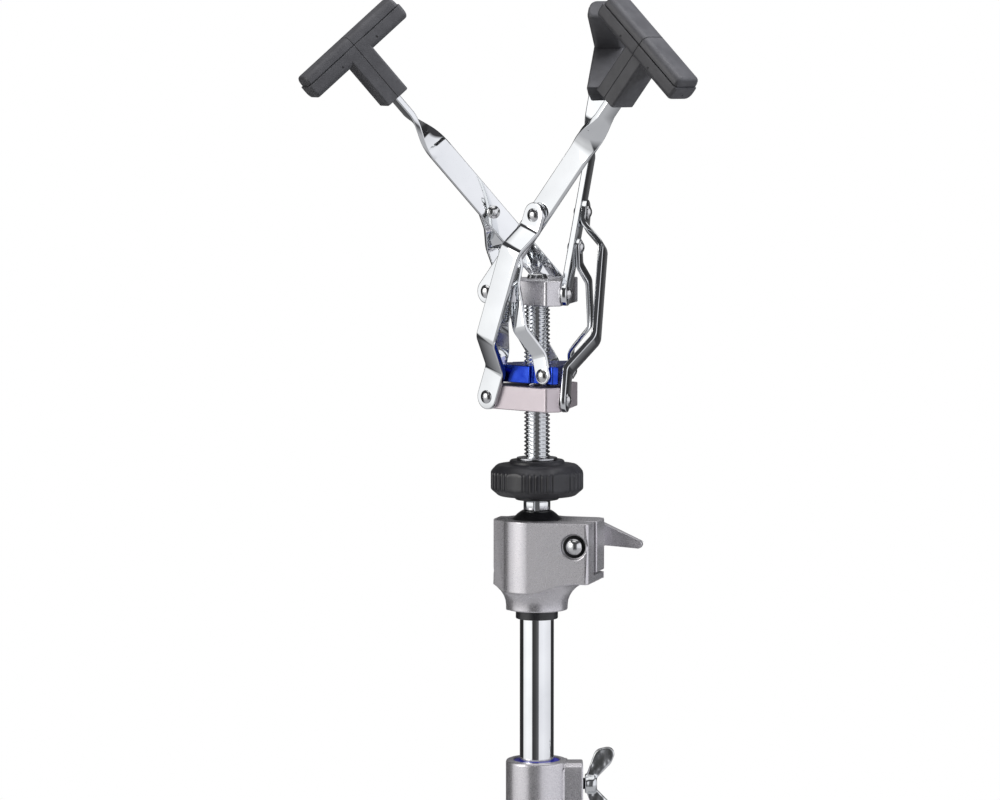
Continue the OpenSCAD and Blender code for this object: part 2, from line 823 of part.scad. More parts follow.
module knob() {
    lobes = 6;
    flutes = 5;
    low = knob_boss_h;
    high = knob_boss_h + knob_h;
    color("dimgray") translate([0, 0, knob_z + side_gap]) difference() {
        rotate_extrude() polygon([
            [insert_r, 0], [knob_boss_r - 1, 0], [knob_boss_r, 1], [knob_boss_r, low],
            [knob_r - 7, low], [knob_r, low + 5.6], [knob_r, high - 6.4], [knob_r - 5, high - 1],
            [knob_ring_r + 3, high], [knob_ring_r, high + knob_ring_h - 1],
            [knob_ring_r - 1, high + knob_ring_h], [insert_r, high + knob_ring_h]
        ]);
        for (i = [0 : lobes - 1]) {
            rotate(i * 60 - 60) translate([knob_r + 24.5, 0, low - 1]) cylinder(r = 27, h = knob_h + 3);
            for (j = [0 : flutes - 1]) rotate(i * 60 - 30 + (j - 2) * 5.4)
                translate([knob_r + 0.3, 0, low - 1]) cylinder(r = 1.3, h = knob_h + 3, $fn = 24);
        }
    }
}

module knob_insert() {
    insert_h = knob_boss_h + knob_h + knob_ring_h;
    color("gainsboro") translate([0, 0, knob_z + side_gap]) difference() {
        cylinder(r = insert_r, h = insert_h);
        translate([0, 0, -1]) cylinder(r = rod_r + run_fit, h = insert_h + 2);
        translate([0, 0, -1]) cylinder(r = shank_r + loose_gap, h = 2);
    }
}

module knob_washer() {
    color("gainsboro") translate([0, 0, knob_top + 2 * side_gap]) difference() {
        cylinder(r = insert_r + 1, h = washer_t);
        translate([0, 0, -1]) cylinder(r = rod_r + run_fit, h = washer_t + 2);
    }
}

// Basket arms

// Strap that turns through a quarter, as a stack of rings of points about its section
module strap_twist(from, length) {
    steps = 4;
    rings = 14;
    n = 2 * (steps + 1);
    ends = [0 : rings];
    section = [
        for (side = [-1, 1], i = [0 : steps])
            [side * arm_t / 2, side * (arm_w * i / steps - arm_w / 2)]
    ];
    points = [
        for (r = ends, p = section) let (a = 90 * r / rings)
            [from + length * r / rings, p[0] * cos(a) - p[1] * sin(a), p[0] * sin(a) + p[1] * cos(a)]
    ];
    sides = [
        for (r = [0 : rings - 1], i = [0 : n - 1], half = [0, 1])
            let (low = r * n + i, next = r * n + (i + 1) % n)
            half == 0 ? [low, low + n, next + n] : [low, next + n, next]
    ];
    caps = [[for (i = [0 : n - 1]) i], [for (i = [0 : n - 1]) (rings + 1) * n - 1 - i]];
    polyhedron(points, concat(caps, sides), convexity = 4);
}

module arm(k) {
    tang_end = arm_len - pad_t / 2 - sleeve_len + tang_in;
    color("gainsboro") along_arm(k) difference() {
        union() {
            translate([0, -arm_t / 2, -arm_w / 2]) cube([twist_from, arm_t, arm_w]);
            rotate([90, 0, 0]) cylinder(d = arm_w, h = arm_t, center = true);
            strap_twist(twist_from - eps, twist_len + 2 * eps);
            translate([twist_from + twist_len, -arm_w / 2, -arm_t / 2])
                cube([tang_end - twist_from - twist_len, arm_w, arm_t]);
        }
        arm_hole(0, rivet_r + run_fit);
        arm_hole(inner_rivet_at, rivet_r);
        arm_hole(outer_rivet_at, rivet_r);
    }
}

module arm_hole(at, r) {
    translate([at, 0, 0]) rotate([90, 0, 0]) cylinder(r = r, h = arm_t + 2, center = true);
}

// The two rivets that hold the links to one arm
module arm_rivets(k) {
    color("gainsboro") swing_plane(k) {
        arm_rivet(OUTER_RIVET, link_in + outer_t + side_gap);
        arm_rivet(INNER_RIVET, link_in + inner_t + side_gap);
    }
}

module arm_rivet(at, end) {
    cross_bar(at, arm_in - sunk, end + sunk, rivet_r);
    dome_out(at, end);
    dome_out(at, arm_in, -1);
}

// Rubber T that slips over the arm's tang
module pad(k) {
    tang_end = arm_len - pad_t / 2 - sleeve_len + tang_in;
    lift = 2.5;
    color("dimgray") along_arm(k) difference() {
        translate([0, -lift, 0]) rotate([90, 0, 0]) {
            linear_extrude(pad_d, center = true)
                translate([arm_len - grip_h / 2, 0]) round_rect2d(pad_t - grip_h, pad_len, 4);
            linear_extrude(pad_d - 2 * groove_d, center = true) translate([arm_len, 0])
                square([pad_t - grip_h, pad_len - 2 * groove_d], center = true);
            linear_extrude(pad_d - 1, center = true)
                translate([arm_len + (pad_t - grip_h + groove_w) / 2, 0])
                    round_rect2d(grip_h - groove_w, pad_len - 3, 3);
            linear_extrude(sleeve_d, center = true)
                translate([arm_len - sleeve_len / 2, 0]) round_rect2d(sleeve_len + pad_t, sleeve_w, 3);
        }
        translate([0, -arm_w / 2, -arm_t / 2]) cube([tang_end, arm_w, arm_t]);
    }
}

// Links

// Bent strap from its lower pivot to its upper rivet, with its lower rivet fixed in it
module link(k, low, high, length, w, thick, seat_out, bow_out, steps, pin_in) {
    run = high - low;
    path = rounded([
        [-w, -seat_out], [steps[0], -seat_out], [steps[1], -bow_out],
        [steps[2], -bow_out], [steps[3], -(link_in + thick / 2)], [length + w, -(link_in + thick / 2)]
    ], bend_r);
    color("gainsboro") swing_plane(k) translate([low[0], 0, low[1]]) {
        rotate([0, -atan2(run[1], run[0]), 0]) difference() {
            intersection() {
                translate([0, 0, -w / 2]) linear_extrude(w)
                    polygon(concat(side_of(path, thick / 2), turned(side_of(path, -thick / 2))));
                upright(0, 100) bar2d([0, 0], [length, 0], w);
            }
            cross_bar([length, 0], 0, 100, rivet_r + run_fit);
        }
        cross_bar([0, 0], seat_out - thick / 2 - pin_in, seat_out + thick / 2 + sunk, rivet_r);
        dome_out([0, 0], seat_out + thick / 2 - sunk);
    }
}

module outer_link(k) {
    seat_out = face_out + side_gap + outer_t / 2;
    link(k, OUTER_FOOT, OUTER_RIVET, outer_len, outer_w, outer_t, seat_out, outer_bow,
         [22.5, 47, outer_len - 26.9, outer_len - 10.4], 8);
}

module inner_link(k) {
    seat_out = inner_seat_out + side_gap + inner_t / 2;
    link(k, INNER_FOOT, INNER_RIVET, inner_len, inner_w, inner_t, seat_out, inner_bow,
         [15.5, 35, 69, 81], 7);
}

base_tube();
base_tube_plug();
brace_hub();
brace_hub_pins();
leg_collar();
leg_collar_pins();
leg_wing_bolt();
for (k = [0 : 2]) {
    leg(k);
    brace(k);
    foot(k);
    arm(k);
    pad(k);
    arm_rivets(k);
    outer_link(k);
    inner_link(k);
}
height_clamp();
height_clamp_bush();
height_bolt();
height_wing();
height_brake_shoe();
tube_guide();
height_tube();
socket_bush();
tilter_body();
tilter_jaw();
jaw_bolt();
tilter_lever();
ball_seat_ring();
tilt_ball();
threaded_rod();
basket_hub();
hub_cap_screw();
hub_pins();
upper_collar();
lower_collar();
knob();
knob_insert();
knob_washer();
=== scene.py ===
"""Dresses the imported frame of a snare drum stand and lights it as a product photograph."""

import json
import math
from collections import namedtuple

import bmesh
import bpy
from mathutils import Matrix, Vector


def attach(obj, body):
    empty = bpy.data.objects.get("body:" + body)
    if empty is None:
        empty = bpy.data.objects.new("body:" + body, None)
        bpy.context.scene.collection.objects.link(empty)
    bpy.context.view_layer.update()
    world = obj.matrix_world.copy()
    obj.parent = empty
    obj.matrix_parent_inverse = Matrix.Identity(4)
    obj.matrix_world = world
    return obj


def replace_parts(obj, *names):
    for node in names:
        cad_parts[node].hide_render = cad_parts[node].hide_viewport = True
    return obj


bl_info = {
    "name": "Snare drum stand",
    "version": (1, 0, 0),
    "blender": (4, 5, 0),
    "location": "3D View > Sidebar > Drum stand",
    "description": "Dresses the packed frame of a snare drum stand and lights it",
    "category": "Object",
}

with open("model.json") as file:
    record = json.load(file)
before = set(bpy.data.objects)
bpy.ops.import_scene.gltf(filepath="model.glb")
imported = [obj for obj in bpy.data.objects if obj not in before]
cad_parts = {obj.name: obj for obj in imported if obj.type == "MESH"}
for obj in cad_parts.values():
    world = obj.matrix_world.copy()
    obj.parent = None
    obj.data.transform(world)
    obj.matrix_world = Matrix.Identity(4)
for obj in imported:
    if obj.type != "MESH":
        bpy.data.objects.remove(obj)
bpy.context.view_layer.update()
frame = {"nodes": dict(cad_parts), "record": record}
SLOTS = {part["node"]: part["material_slot"] for part in frame["record"]["subparts"]}
BODY_OF = {
    node: body
    for body, nodes in frame["record"]["behaviour"]["bodies"].items()
    for node in nodes
}
MM = 0.001
ARMS = ("right", "back", "left")

# Sizes of the frame that the pieces below repeat, in mm and degrees

# Heights over the floor of the arms' pivots, the ball's centre and the knob's underside
HUB_Z, BALL_Z, KNOB_Z = 647.3, 465.3, 492.5
# Play between pieces that lie face to face
SIDE_GAP = 0.2

# Arms: turn of the first about the rod, slope at rest and pivot in the swing plane
ARM_TURN = -43
ARM_ANGLE = math.radians(48.6)
ARM_PIVOT = Vector((-24.7, 0))
# Strip of an arm, and how far from the rod's axis the hub's face and the arm's and link's lie
ARM_W, ARM_T = 18, 4.4
HUB_FACE = 24.4
ARM_IN = HUB_FACE + SIDE_GAP
LINK_IN = ARM_IN + ARM_T + SIDE_GAP
# Places along an arm: its twist, the end of its tang in the pad, and the pad's middle
TWIST_FROM, TWIST_LEN = 139, 32
TANG_END, ARM_LEN = 220.2, 238.7

# Links: lower pivot in the swing plane, rivet's place along the arm, strip, how far from the rod's
# axis the collar's face and the bowed middle lie, and the places of the four bends
Link = namedtuple("Link", "foot rivet_at width thick collar_face bow bends")
LINKS = {
    "outer": Link(
        foot=Vector((-24.7, -78.0)),
        rivet_at=76.9,
        width=18.5,
        thick=4.0,
        collar_face=24.4,
        bow=46.3,
        bends=(22.5, 47, 118, 134.5),
    ),
    "inner": Link(
        foot=Vector((25.0, -60.1)),
        rivet_at=43.4,
        width=13.0,
        thick=3.0,
        collar_face=19.2,
        bow=37.0,
        bends=(15.5, 35, 69, 81),
    ),
}
# Rivet heads: radius and height, and how far those on the links stand off the face
HEAD_R, HEAD_H = 5.0, 2.6
SEAT_GAP = 0.03

# Pads: middle over the strap's line, and middle of the sleeve, behind the T's middle and over it
PAD_LIFT = -2.5
SLEEVE_BACK, SLEEVE_LIFT = 23.2, 0.35

# Rod: radius of thread and shank, key groove, and its flat and end over the ball's centre
ROD_R, SHANK_R = 9.6, 10.0
KEY_W, KEY_D = 3.6, 1.5
BALL_FLAT, ROD_TOP = 19.28, 187.25

# Ball clamp: turn and height, block and neck, front of its left lug, bolt and the bolt's recess
TILTER_TURN, TILTER_H = -16, 410.8
BLOCK_R, BLOCK_LEFT, FLARE_H = 27, 31, 22.6
LUG_FRONT, LUG_ROOT, GAP_FRONT = -17, -20.98, -9.4
JAW_BOLT_X, JAW_BOLT_H, RECESS_DEPTH = 35.1, 50.4, 2.5

# Knob: radius, foot and top of its rim, top of its ring, and radii of its bore, boss and ring
KNOB_R, RIM_LOW, RIM_HIGH, RING_TOP = 35.4, 3.3, 26.6, 29.6
BORE_R, BOSS_R, RING_R = 14.0, 16.3, 20.4
# Its lobes, the scoops between them, and the flutes in each, an angle apart in degrees
LOBES, SCOOP_OUT, SCOOP_R = 6, 25.4, 27.0
FLUTES, FLUTE_STEP, FLUTE_OUT, FLUTE_R = 6, 7.2, 0.3, 1.45


def on_arm(at):
    """Place of a point of the arm's middle line in the swing plane."""
    return ARM_PIVOT + at * Vector((math.cos(ARM_ANGLE), math.sin(ARM_ANGLE)))


# Frames


def swing_plane(k):
    """Swing plane of arm k: x along, -y out from the rod, z over the arm pivots."""
    turn = math.radians(ARM_TURN + 120 * k)
    return Matrix.Translation((0, 0, HUB_Z)) @ Matrix.Rotation(turn, 4, "Z")


def along_arm(k):
    """Frame of arm k's strap: x from its pivot to its pad."""
    shift = Matrix.Translation((ARM_PIVOT[0], -(ARM_IN + ARM_T / 2), ARM_PIVOT[1]))
    return swing_plane(k) @ shift @ Matrix.Rotation(-ARM_ANGLE, 4, "Y")


def along_link(k, low, high):
    """Frame of a link of arm k: x from its lower pivot to its upper one."""
    run = high - low
    shift = Matrix.Translation((low[0], 0, low[1]))
    return swing_plane(k) @ shift @ Matrix.Rotation(-math.atan2(run[1], run[0]), 4, "Y")


def clamp_frame():
    """Frame of the ball clamp: z up from its lower end, turned as its block is."""
    turn = Matrix.Rotation(math.radians(TILTER_TURN), 4, "Z")
    return Matrix.Translation((0, 0, TILTER_H)) @ turn


# Materials


def linear(hex_colour):
    """Linear colour of an sRGB hex value."""
    out = []
    for i in (1, 3, 5):
        c = int(hex_colour[i : i + 2], 16) / 255
        out.append(c / 12.92 if c <= 0.04045 else ((c + 0.055) / 1.055) ** 2.4)
    return (*out, 1.0)


def add(tree, kind, inputs=None, **settings):
    """Adds a node. An input given as a socket is linked, and any other is set."""
    node = tree.nodes.new(kind)
    for key, value in settings.items():
        setattr(node, key, value)
    for key, value in (inputs or {}).items():
        if isinstance(value, bpy.types.NodeSocket):
            tree.links.new(value, node.inputs[key])
        else:
            node.inputs[key].default_value = value
    return node


def maths(tree, operation, *values):
    """Result of a Math node on sockets or numbers."""
    return add(tree, "ShaderNodeMath", dict(enumerate(values)), operation=operation).outputs[0]


def new_material(name):
    """Empty material, its tree and its Object coordinates."""
    material = bpy.data.materials.new(name)
    material.use_nodes = True
    tree = material.node_tree
    tree.nodes.clear()
    place = add(tree, "ShaderNodeTexCoord").outputs["Object"]
    return material, tree, place


def noise(tree, place, size_mm, detail=2.0, rough=0.5):
    """Noise whose features are about size_mm across."""
    inputs = {"Vector": place, "Scale": 1000 / size_mm, "Detail": detail, "Roughness": rough}
    return add(tree, "ShaderNodeTexNoise", inputs).outputs["Fac"]


def height_only(tree, place):
    """Coordinates that change with z alone, for marks that run round a turned part."""
    z = add(tree, "ShaderNodeSeparateXYZ", {0: place}).outputs["Z"]
    return add(tree, "ShaderNodeCombineXYZ", {"Z": z}).outputs[0]


def span(tree, value, low, high, start=0.0, end=1.0):
    """Maps value from start..end to low..high."""
    inputs = {"Value": value, "From Min": start, "From Max": end, "To Min": low, "To Max": high}
    return add(tree, "ShaderNodeMapRange", inputs).outputs["Result"]


def blend(tree, factor, first, second):
    """Mixes two colours, each a hex value, a linear colour or a socket."""
    node = add(tree, "ShaderNodeMix", data_type="RGBA")
    sockets = {"Factor": 0, "A": 6, "B": 7}
    for key, value in (("Factor", factor), ("A", first), ("B", second)):
        socket = node.inputs[sockets[key]]
        if isinstance(value, bpy.types.NodeSocket):
            tree.links.new(value, socket)
        else:
            socket.default_value = linear(value) if isinstance(value, str) else value
    return node.outputs[2]


def bump(tree, height, depth_mm, strength=1.0):
    """Normal of a surface with ridges depth_mm high."""
    inputs = {"Height": height, "Distance": depth_mm * MM, "Strength": strength}
    return add(tree, "ShaderNodeBump", inputs).outputs["Normal"]


def close(tree, **inputs):
    """Ends a material in a principled shader."""
    named = {key.replace("_", " "): value for key, value in inputs.items()}
    shader = add(tree, "ShaderNodeBsdfPrincipled", named)
    add(tree, "ShaderNodeOutputMaterial", {"Surface": shader.outputs["BSDF"]})


def plated(name, hex_colour, rough, spread=0.03, wave_mm=9, depth_mm=0.012):
    """Bright plating: polished, with haze, handling marks and the waves of what is under it."""
    material, tree, place = new_material(name)
    haze = noise(tree, place, 28, 3)
    marks = noise(tree, place, 2.6, 4, 0.62)
    mixed = maths(tree, "MULTIPLY", haze, marks)
    close(
        tree,
        Base_Color=blend(tree, span(tree, haze, 0, 0.35, 0.35, 0.75), hex_colour, "#c9ccd0"),
        Metallic=1.0,
        Roughness=span(tree, mixed, rough, rough + spread, 0.12, 0.45),
        Normal=bump(tree, noise(tree, place, wave_mm, 1), depth_mm, 0.5),
    )
    return material


def turned_steel():
    """Plated screw: a little duller than the tubes, with turning marks round it."""
    material, tree, place = new_material("Zinc plated turned steel")
    # Turning marks are about 0.1 mm apart; drawn at 0.22 mm, so that they show
    marks = noise(tree, height_only(tree, place), 0.22, 1)
    dirt = noise(tree, place, 5, 4, 0.6)
    close(
        tree,
        Base_Color=blend(tree, span(tree, dirt, 0, 0.5, 0.45, 0.75), "#bcbdc1", "#85858a"),
        Metallic=1.0,
        Roughness=span(tree, dirt, 0.14, 0.27, 0.3, 0.7),
        Normal=bump(tree, marks, 0.02, 0.4),
    )
    return material


def silver_casting():
    """Metallic paint over die casting: flakes, orange peel and a thin clear coat."""
    material, tree, place = new_material("Silver painted die casting")
    # The paint's flakes are about 0.05 mm across; drawn at 0.4 mm, so that they show
    flake = add(tree, "ShaderNodeTexVoronoi", {"Vector": place, "Scale": 1000 / 0.4})
    pick = add(tree, "ShaderNodeSeparateColor", {0: flake.outputs["Color"]}).outputs[0]
    cloud = noise(tree, place, 14, 3)
    base = blend(tree, span(tree, pick, 0, 1, 0.15, 0.85), "#c1bfc4", "#d1cfd3")
    close(
        tree,
        Base_Color=blend(tree, span(tree, cloud, 0, 0.35, 0.4, 0.7), base, "#cac7ca"),
        Metallic=0.8,
        Roughness=span(tree, pick, 0.27, 0.31),
        Coat_Weight=0.15,
        Coat_Roughness=0.2,
        Normal=bump(tree, noise(tree, place, 1.0, 2, 0.5), 0.007, 0.5),
    )
    return material


def anodised(name, deep, bright):
    """Dyed anodising on turned aluminium: clear colour with turning marks under it."""
    material, tree, place = new_material(name)
    # Turning marks are about 0.1 mm apart; drawn at 0.3 mm, so that they show
    marks = noise(tree, height_only(tree, place), 0.3, 2)
    cloud = noise(tree, place, 8, 2)
    close(
        tree,
        Base_Color=blend(tree, span(tree, cloud, 0, 0.6, 0.35, 0.7), deep, bright),
        Metallic=1.0,
        Roughness=span(tree, marks, 0.2, 0.3),
        Normal=bump(tree, marks, 0.012, 0.5),
    )
    return material


def satin_aluminium():
    """Blasted and clear anodised aluminium: an even soft shine, faintly warm."""
    material, tree, place = new_material("Satin aluminium")
    # Blasting grit leaves pits of about 0.1 mm; drawn at 0.35 mm, so that they show
    grain = noise(tree, place, 0.35, 2)
    cloud = noise(tree, place, 12, 2)
    close(
        tree,
        Base_Color=blend(tree, span(tree, cloud, 0, 0.5), "#cfc5ca", "#beb5ba"),
        Metallic=0.85,
        Roughness=span(tree, grain, 0.36, 0.46),
        Normal=bump(tree, grain, 0.02, 0.6),
    )
    return material


def mould_marks_with_painted_shade(tree):
    """1 on a pad's parting line and ejector dimples, from the pad's own frame in mm: the mask of
    their grooves and of the painted shade in them.

    A foot has no such frame and is as dark all over as the line.
    """
    line_from, line_to = 0.12, 0.38
    dimple_from, dimple_to = 0.55, 1.0
    dimple_along, dimple_across, pad_end = -4.5, 17, 40
    own = add(tree, "ShaderNodeAttribute", attribute_name="own_place").outputs["Vector"]
    own = add(tree, "ShaderNodeSeparateXYZ", {0: own})
    along, deep, across = (own.outputs[i] for i in range(3))
    across = maths(tree, "ABSOLUTE", across)
    line = span(tree, across, 1, 0, line_from, line_to)

    def dimple(first, second):
        """Round mark where both values are near zero."""
        square = maths(tree, "ADD", maths(tree, "POWER", first, 2), maths(tree, "POWER", second, 2))
        return span(tree, maths(tree, "SQRT", square), 1, 0, dimple_from, dimple_to)

    along = maths(tree, "ABSOLUTE", maths(tree, "SUBTRACT", along, dimple_along))
    aside = maths(tree, "ABSOLUTE", maths(tree, "SUBTRACT", across, dimple_across))
    side = dimple(along, aside)
    end = dimple(along, maths(tree, "ABSOLUTE", deep))
    end = maths(tree, "MULTIPLY", end, maths(tree, "GREATER_THAN", across, pad_end))
    return maths(tree, "MAXIMUM", line, maths(tree, "MAXIMUM", side, end))


def moulded(name, dark, light, rough, grain_mm=0.45, grain_depth=0.03, mould=False, gloss=0.5):
    """Moulded rubber or nylon: the mould's fine grain, and dust in its hollows. With mould set, the
    parting line and ejector dimples are cut in as grooves and painted near black as painted shade.
    """
    material, tree, place = new_material(name)
    # The mould's texture is finer than 0.2 mm; drawn at grain_mm, so that it shows
    grain = noise(tree, place, grain_mm, 3, 0.6)
    dust = noise(tree, place, 11, 4, 0.65)
    base = blend(tree, span(tree, dust, 0, 0.6, 0.38, 0.78), dark, light)
    normal = bump(tree, grain, grain_depth, 0.8)
    if mould:
        line = mould_marks_with_painted_shade(tree)
        # Painted shade: near black in the grooves of the parting line and the ejector dimples
        base = blend(tree, span(tree, line, 0, 0.8), base, "#0d0d0f")
        inputs = {"Height": line, "Distance": 0.4 * MM, "Strength": 1.0, "Normal": normal}
        normal = add(tree, "ShaderNodeBump", inputs, invert=True).outputs["Normal"]
    close(
        tree,
        Base_Color=base,
        Metallic=0.0,
        Roughness=span(tree, grain, rough - 0.05, rough + 0.07),
        Specular_IOR_Level=gloss,
        Normal=normal,
    )
    return material


def black_steel():
    """Black oxide on a turned bolt: dark and oily, worn to bare steel in places."""
    material, tree, place = new_material("Black oxide steel")
    wear = noise(tree, place, 1.8, 4, 0.6)
    close(
        tree,
        Base_Color=blend(tree, span(tree, wear, 0, 0.5, 0.5, 0.8), "#161618", "#4a4a4e"),
        Metallic=0.8,
        Roughness=span(tree, wear, 0.25, 0.42),
        Normal=bump(tree, wear, 0.01, 0.6),
    )
    return material


def make_materials(settings):
    """Every finish of the stand, by the slot or pieces that take it."""
    deep, bright = (*settings.collar_deep, 1.0), (*settings.collar_bright, 1.0)
    clean, dusty = (*settings.rubber_clean, 1.0), (*settings.rubber_dusty, 1.0)
    return {
        "chrome_steel": plated("Chrome plated steel", "#eceef0", 0.035),
        "cast_chrome": plated("Chrome plated die casting", "#e6e8ea", 0.12, 0.06, 8, 2.6),
        "bright_rivet": plated("Nickel plated rivet steel", "#dcdcdd", 0.11, 0.08),
        "silver_casting": silver_casting(),
        "blue_anodised": anodised("Blue anodised aluminium", deep, bright),
        "satin_aluminium": satin_aluminium(),
        "black_nylon": moulded("Black glass filled nylon", "#1f1f22", "#323236", 0.33),
        "black_resin": moulded("Black acetal resin", "#141416", "#242427", 0.28, 0.8, 0.01),
        "navy_nylon": moulded("Navy blue nylon", "#20207c", "#2d2d92", 0.36, 0.6, 0.02),
        "black_steel": black_steel(),
        "turned_steel": turned_steel(),
        "black_rubber": moulded(
            "Black moulded rubber", clean, dusty, 0.46, 0.5, 0.02, mould=True, gloss=0.35
        ),
    }


MATERIALS = {}

# Mesh helpers


def finish_piece(obj, nodes, body, slot, finish=None):
    """Gives a piece its finish, its body and the nodes it stands for."""
    obj.data.materials.clear()
    obj.data.materials.append(MATERIALS[finish or slot])
    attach(obj, body)
    if nodes:
        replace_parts(obj, *nodes)
    return obj


def finish_as(obj, node, finish=None):
    """Gives a piece the body and slot of the one node that it stands for."""
    return finish_piece(obj, [node], BODY_OF[node], SLOTS[node], finish)


def link_object(name, data):
    """New object in the scene, of a mesh, a light or a camera."""
    obj = bpy.data.objects.new(name, data)
    bpy.context.scene.collection.objects.link(obj)
    return obj


def piece_from(name, points, faces, place=None):
    """Object from points in mm, moved to their place in the stand."""
    if place is not None:
        points = [place @ Vector(p) for p in points]
    mesh = bpy.data.meshes.new(name)
    mesh.from_pydata([Vector(p) * MM for p in points], [], faces)
    obj = link_object(name, mesh)
    work = bmesh.new()
    work.from_mesh(mesh)
    bmesh.ops.remove_doubles(work, verts=work.verts, dist=0.002 * MM)
    bmesh.ops.recalc_face_normals(work, faces=work.faces)
    work.to_mesh(mesh)
    work.free()
    return obj


def smooth(obj, angle):
    """Smooth shading with sharp edges above angle degrees."""
    obj.data.shade_smooth()
    obj.data.set_sharp_from_angle(angle=math.radians(angle))


def bake(obj):
    """Replaces the object's mesh by what its modifiers make of it."""
    graph = bpy.context.evaluated_depsgraph_get()
    made = bpy.data.meshes.new_from_object(obj.evaluated_get(graph))
    old = obj.data
    obj.modifiers.clear()
    obj.data = made
    made.name = old.name
    bpy.data.meshes.remove(old)


def weigh_normals(obj):
    """Shades large faces flat, so that only the rounded edges turn."""
    weighted = obj.modifiers.new("Normals", "WEIGHTED_NORMAL")
    weighted.keep_sharp = True
    weighted.weight = 50
    bake(obj)


def round_edges(obj, width_mm, segments=2, angle=32, method="ANGLE"):
    """Rounds the sharp edges, or the weighted ones, and bakes the result."""
    bevel = obj.modifiers.new("Edges", "BEVEL")
    bevel.width = width_mm * MM
    bevel.segments = segments
    bevel.limit_method = method
    bevel.angle_limit = math.radians(angle)
    bevel.use_clamp_overlap = False
    bevel.miter_outer = "MITER_ARC"
    weigh_normals(obj)


def slant_lug(work):
    """Turns the front of the block's left lug away from the front, as its draft does."""
    block = Matrix.Rotation(math.radians(TILTER_TURN), 4, "Z")
    back = block.inverted()
    for v in work.verts:
        x, y, z = back @ (v.co / MM)
        if x < LUG_ROOT and y < GAP_FRONT:
            share = (LUG_ROOT - x) / (LUG_ROOT + BLOCK_LEFT)
            slant = LUG_FRONT + (GAP_FRONT - LUG_FRONT) * share
            v.co = block @ Vector((x, max(y, slant), z)) * MM


def mark_edges(mesh, angle):
    """Marks the sharp edges to round, but not those where the left lug runs into the neck."""
    neck_top = TILTER_H + FLARE_H + 1
    work = bmesh.new()
    work.from_mesh(mesh)
    weight = work.edges.layers.float.new("bevel_weight_edge")
    for edge in work.edges:
        low = all(v.co.x < LUG_ROOT * MM and v.co.z < neck_top * MM for v in edge.verts)
        sharp = len(edge.link_faces) == 2 and edge.calc_face_angle() > math.radians(angle)
        edge[weight] = 1.0 if sharp and not low else 0.0
    work.to_mesh(mesh)
    work.free()


def clean_faces(mesh, shape=None):
    """Merges a CAD mesh's loose triangles into flat faces, after shape has moved its points."""
    merge, flat = 0.003 * MM, math.radians(0.6)
    for name in ("custom_normal", "sharp_edge", "sharp_face"):
        if name in mesh.attributes:
            mesh.attributes.remove(mesh.attributes[name])
    work = bmesh.new()
    work.from_mesh(mesh)
    if shape:
        shape(work)
    bmesh.ops.remove_doubles(work, verts=work.verts, dist=merge)
    bmesh.ops.dissolve_degenerate(work, edges=work.edges, dist=merge)
    bmesh.ops.dissolve_limit(work, angle_limit=flat, verts=work.verts, edges=work.edges)
    work.to_mesh(mesh)
    work.free()


def dress(node, width_mm, segments=2, angle=32, shape=None):
    """Copy of a CAD node with clean faces and edges rounded as the real part's are."""
    obj = link_object(node + "_finished", frame["nodes"][node].data.copy())
    clean_faces(obj.data, shape)
    smooth(obj, angle)
    if shape:
        mark_edges(obj.data, angle)
    if width_mm:
        round_edges(obj, width_mm, segments, angle, "WEIGHT" if shape else "ANGLE")
    return finish_as(obj, node)


def soften(node, cell_mm, rounds, finish=None):
    """Copy of a casting or moulding with its faces swollen into each other like the real one's."""
    obj = link_object(node + "_soft", frame["nodes"][node].data.copy())
    cells = obj.modifiers.new("Cells", "REMESH")
    cells.mode = "VOXEL"
    cells.voxel_size = cell_mm * MM
    even = obj.modifiers.new("Even", "SMOOTH")
    even.factor = 0.5
    even.iterations = rounds
    bake(obj)
    obj.data.shade_smooth()
    return finish_as(obj, node, finish)


def ring_faces(rings, count):
    """Quads between rings of count points, each ring closed on itself."""
    faces = []
    for j in range(rings - 1):
        low, high = j * count, (j + 1) * count
        for i in range(count):
            n = (i + 1) % count
            faces.append((low + i, low + n, high + n, high + i))
    return faces


def lathe_grid(name, angles, rows, profile, close_ends=True, place=None):
    """Surface about the z axis: profile(angle, row) gives (r, z) in mm."""
    points = []
    count = len(angles)
    for row in rows:
        for a in angles:
            r, z = profile(a, row)
            points.append((r * math.cos(a), r * math.sin(a), z))
    faces = ring_faces(len(rows), count)
    if close_ends:
        faces.append(tuple(reversed(range(count))))
        faces.append(tuple((len(rows) - 1) * count + i for i in range(count)))
    return piece_from(name, points, faces, place)


def full_turn(count):
    """Angles that divide the circle evenly."""
    return [2 * math.pi * i / count for i in range(count)]


# Straps


def strip_outline(stations, half_width):
    """Upper half of a strap's outline with round ends, as (x, y, normal)."""
    length = stations[-1]
    steps = 10
    arc = [math.pi - math.pi / 2 * i / steps for i in range(steps + 1)]
    first = [(half_width * math.cos(a), half_width * math.sin(a), a) for a in arc]
    middle = [(x, half_width, math.pi / 2) for x in stations if 0 < x < length]
    last = [(length - x, y, math.pi - a) for x, y, a in reversed(first)]
    return first + middle + last


def edge_levels(thick, edge, steps=4):
    """Rounded edge of a strap from its upper face to its lower one, as (inset, z)."""
    levels = []
    for side in (1, -1):
        arc = [math.pi / 2 * (1 - i / steps) for i in range(steps + 1)]
        if side < 0:
            arc.reverse()
        for a in arc:
            height = side * (thick / 2 - edge + edge * math.sin(a))
            levels.append((edge - edge * math.cos(a), height))
    return levels


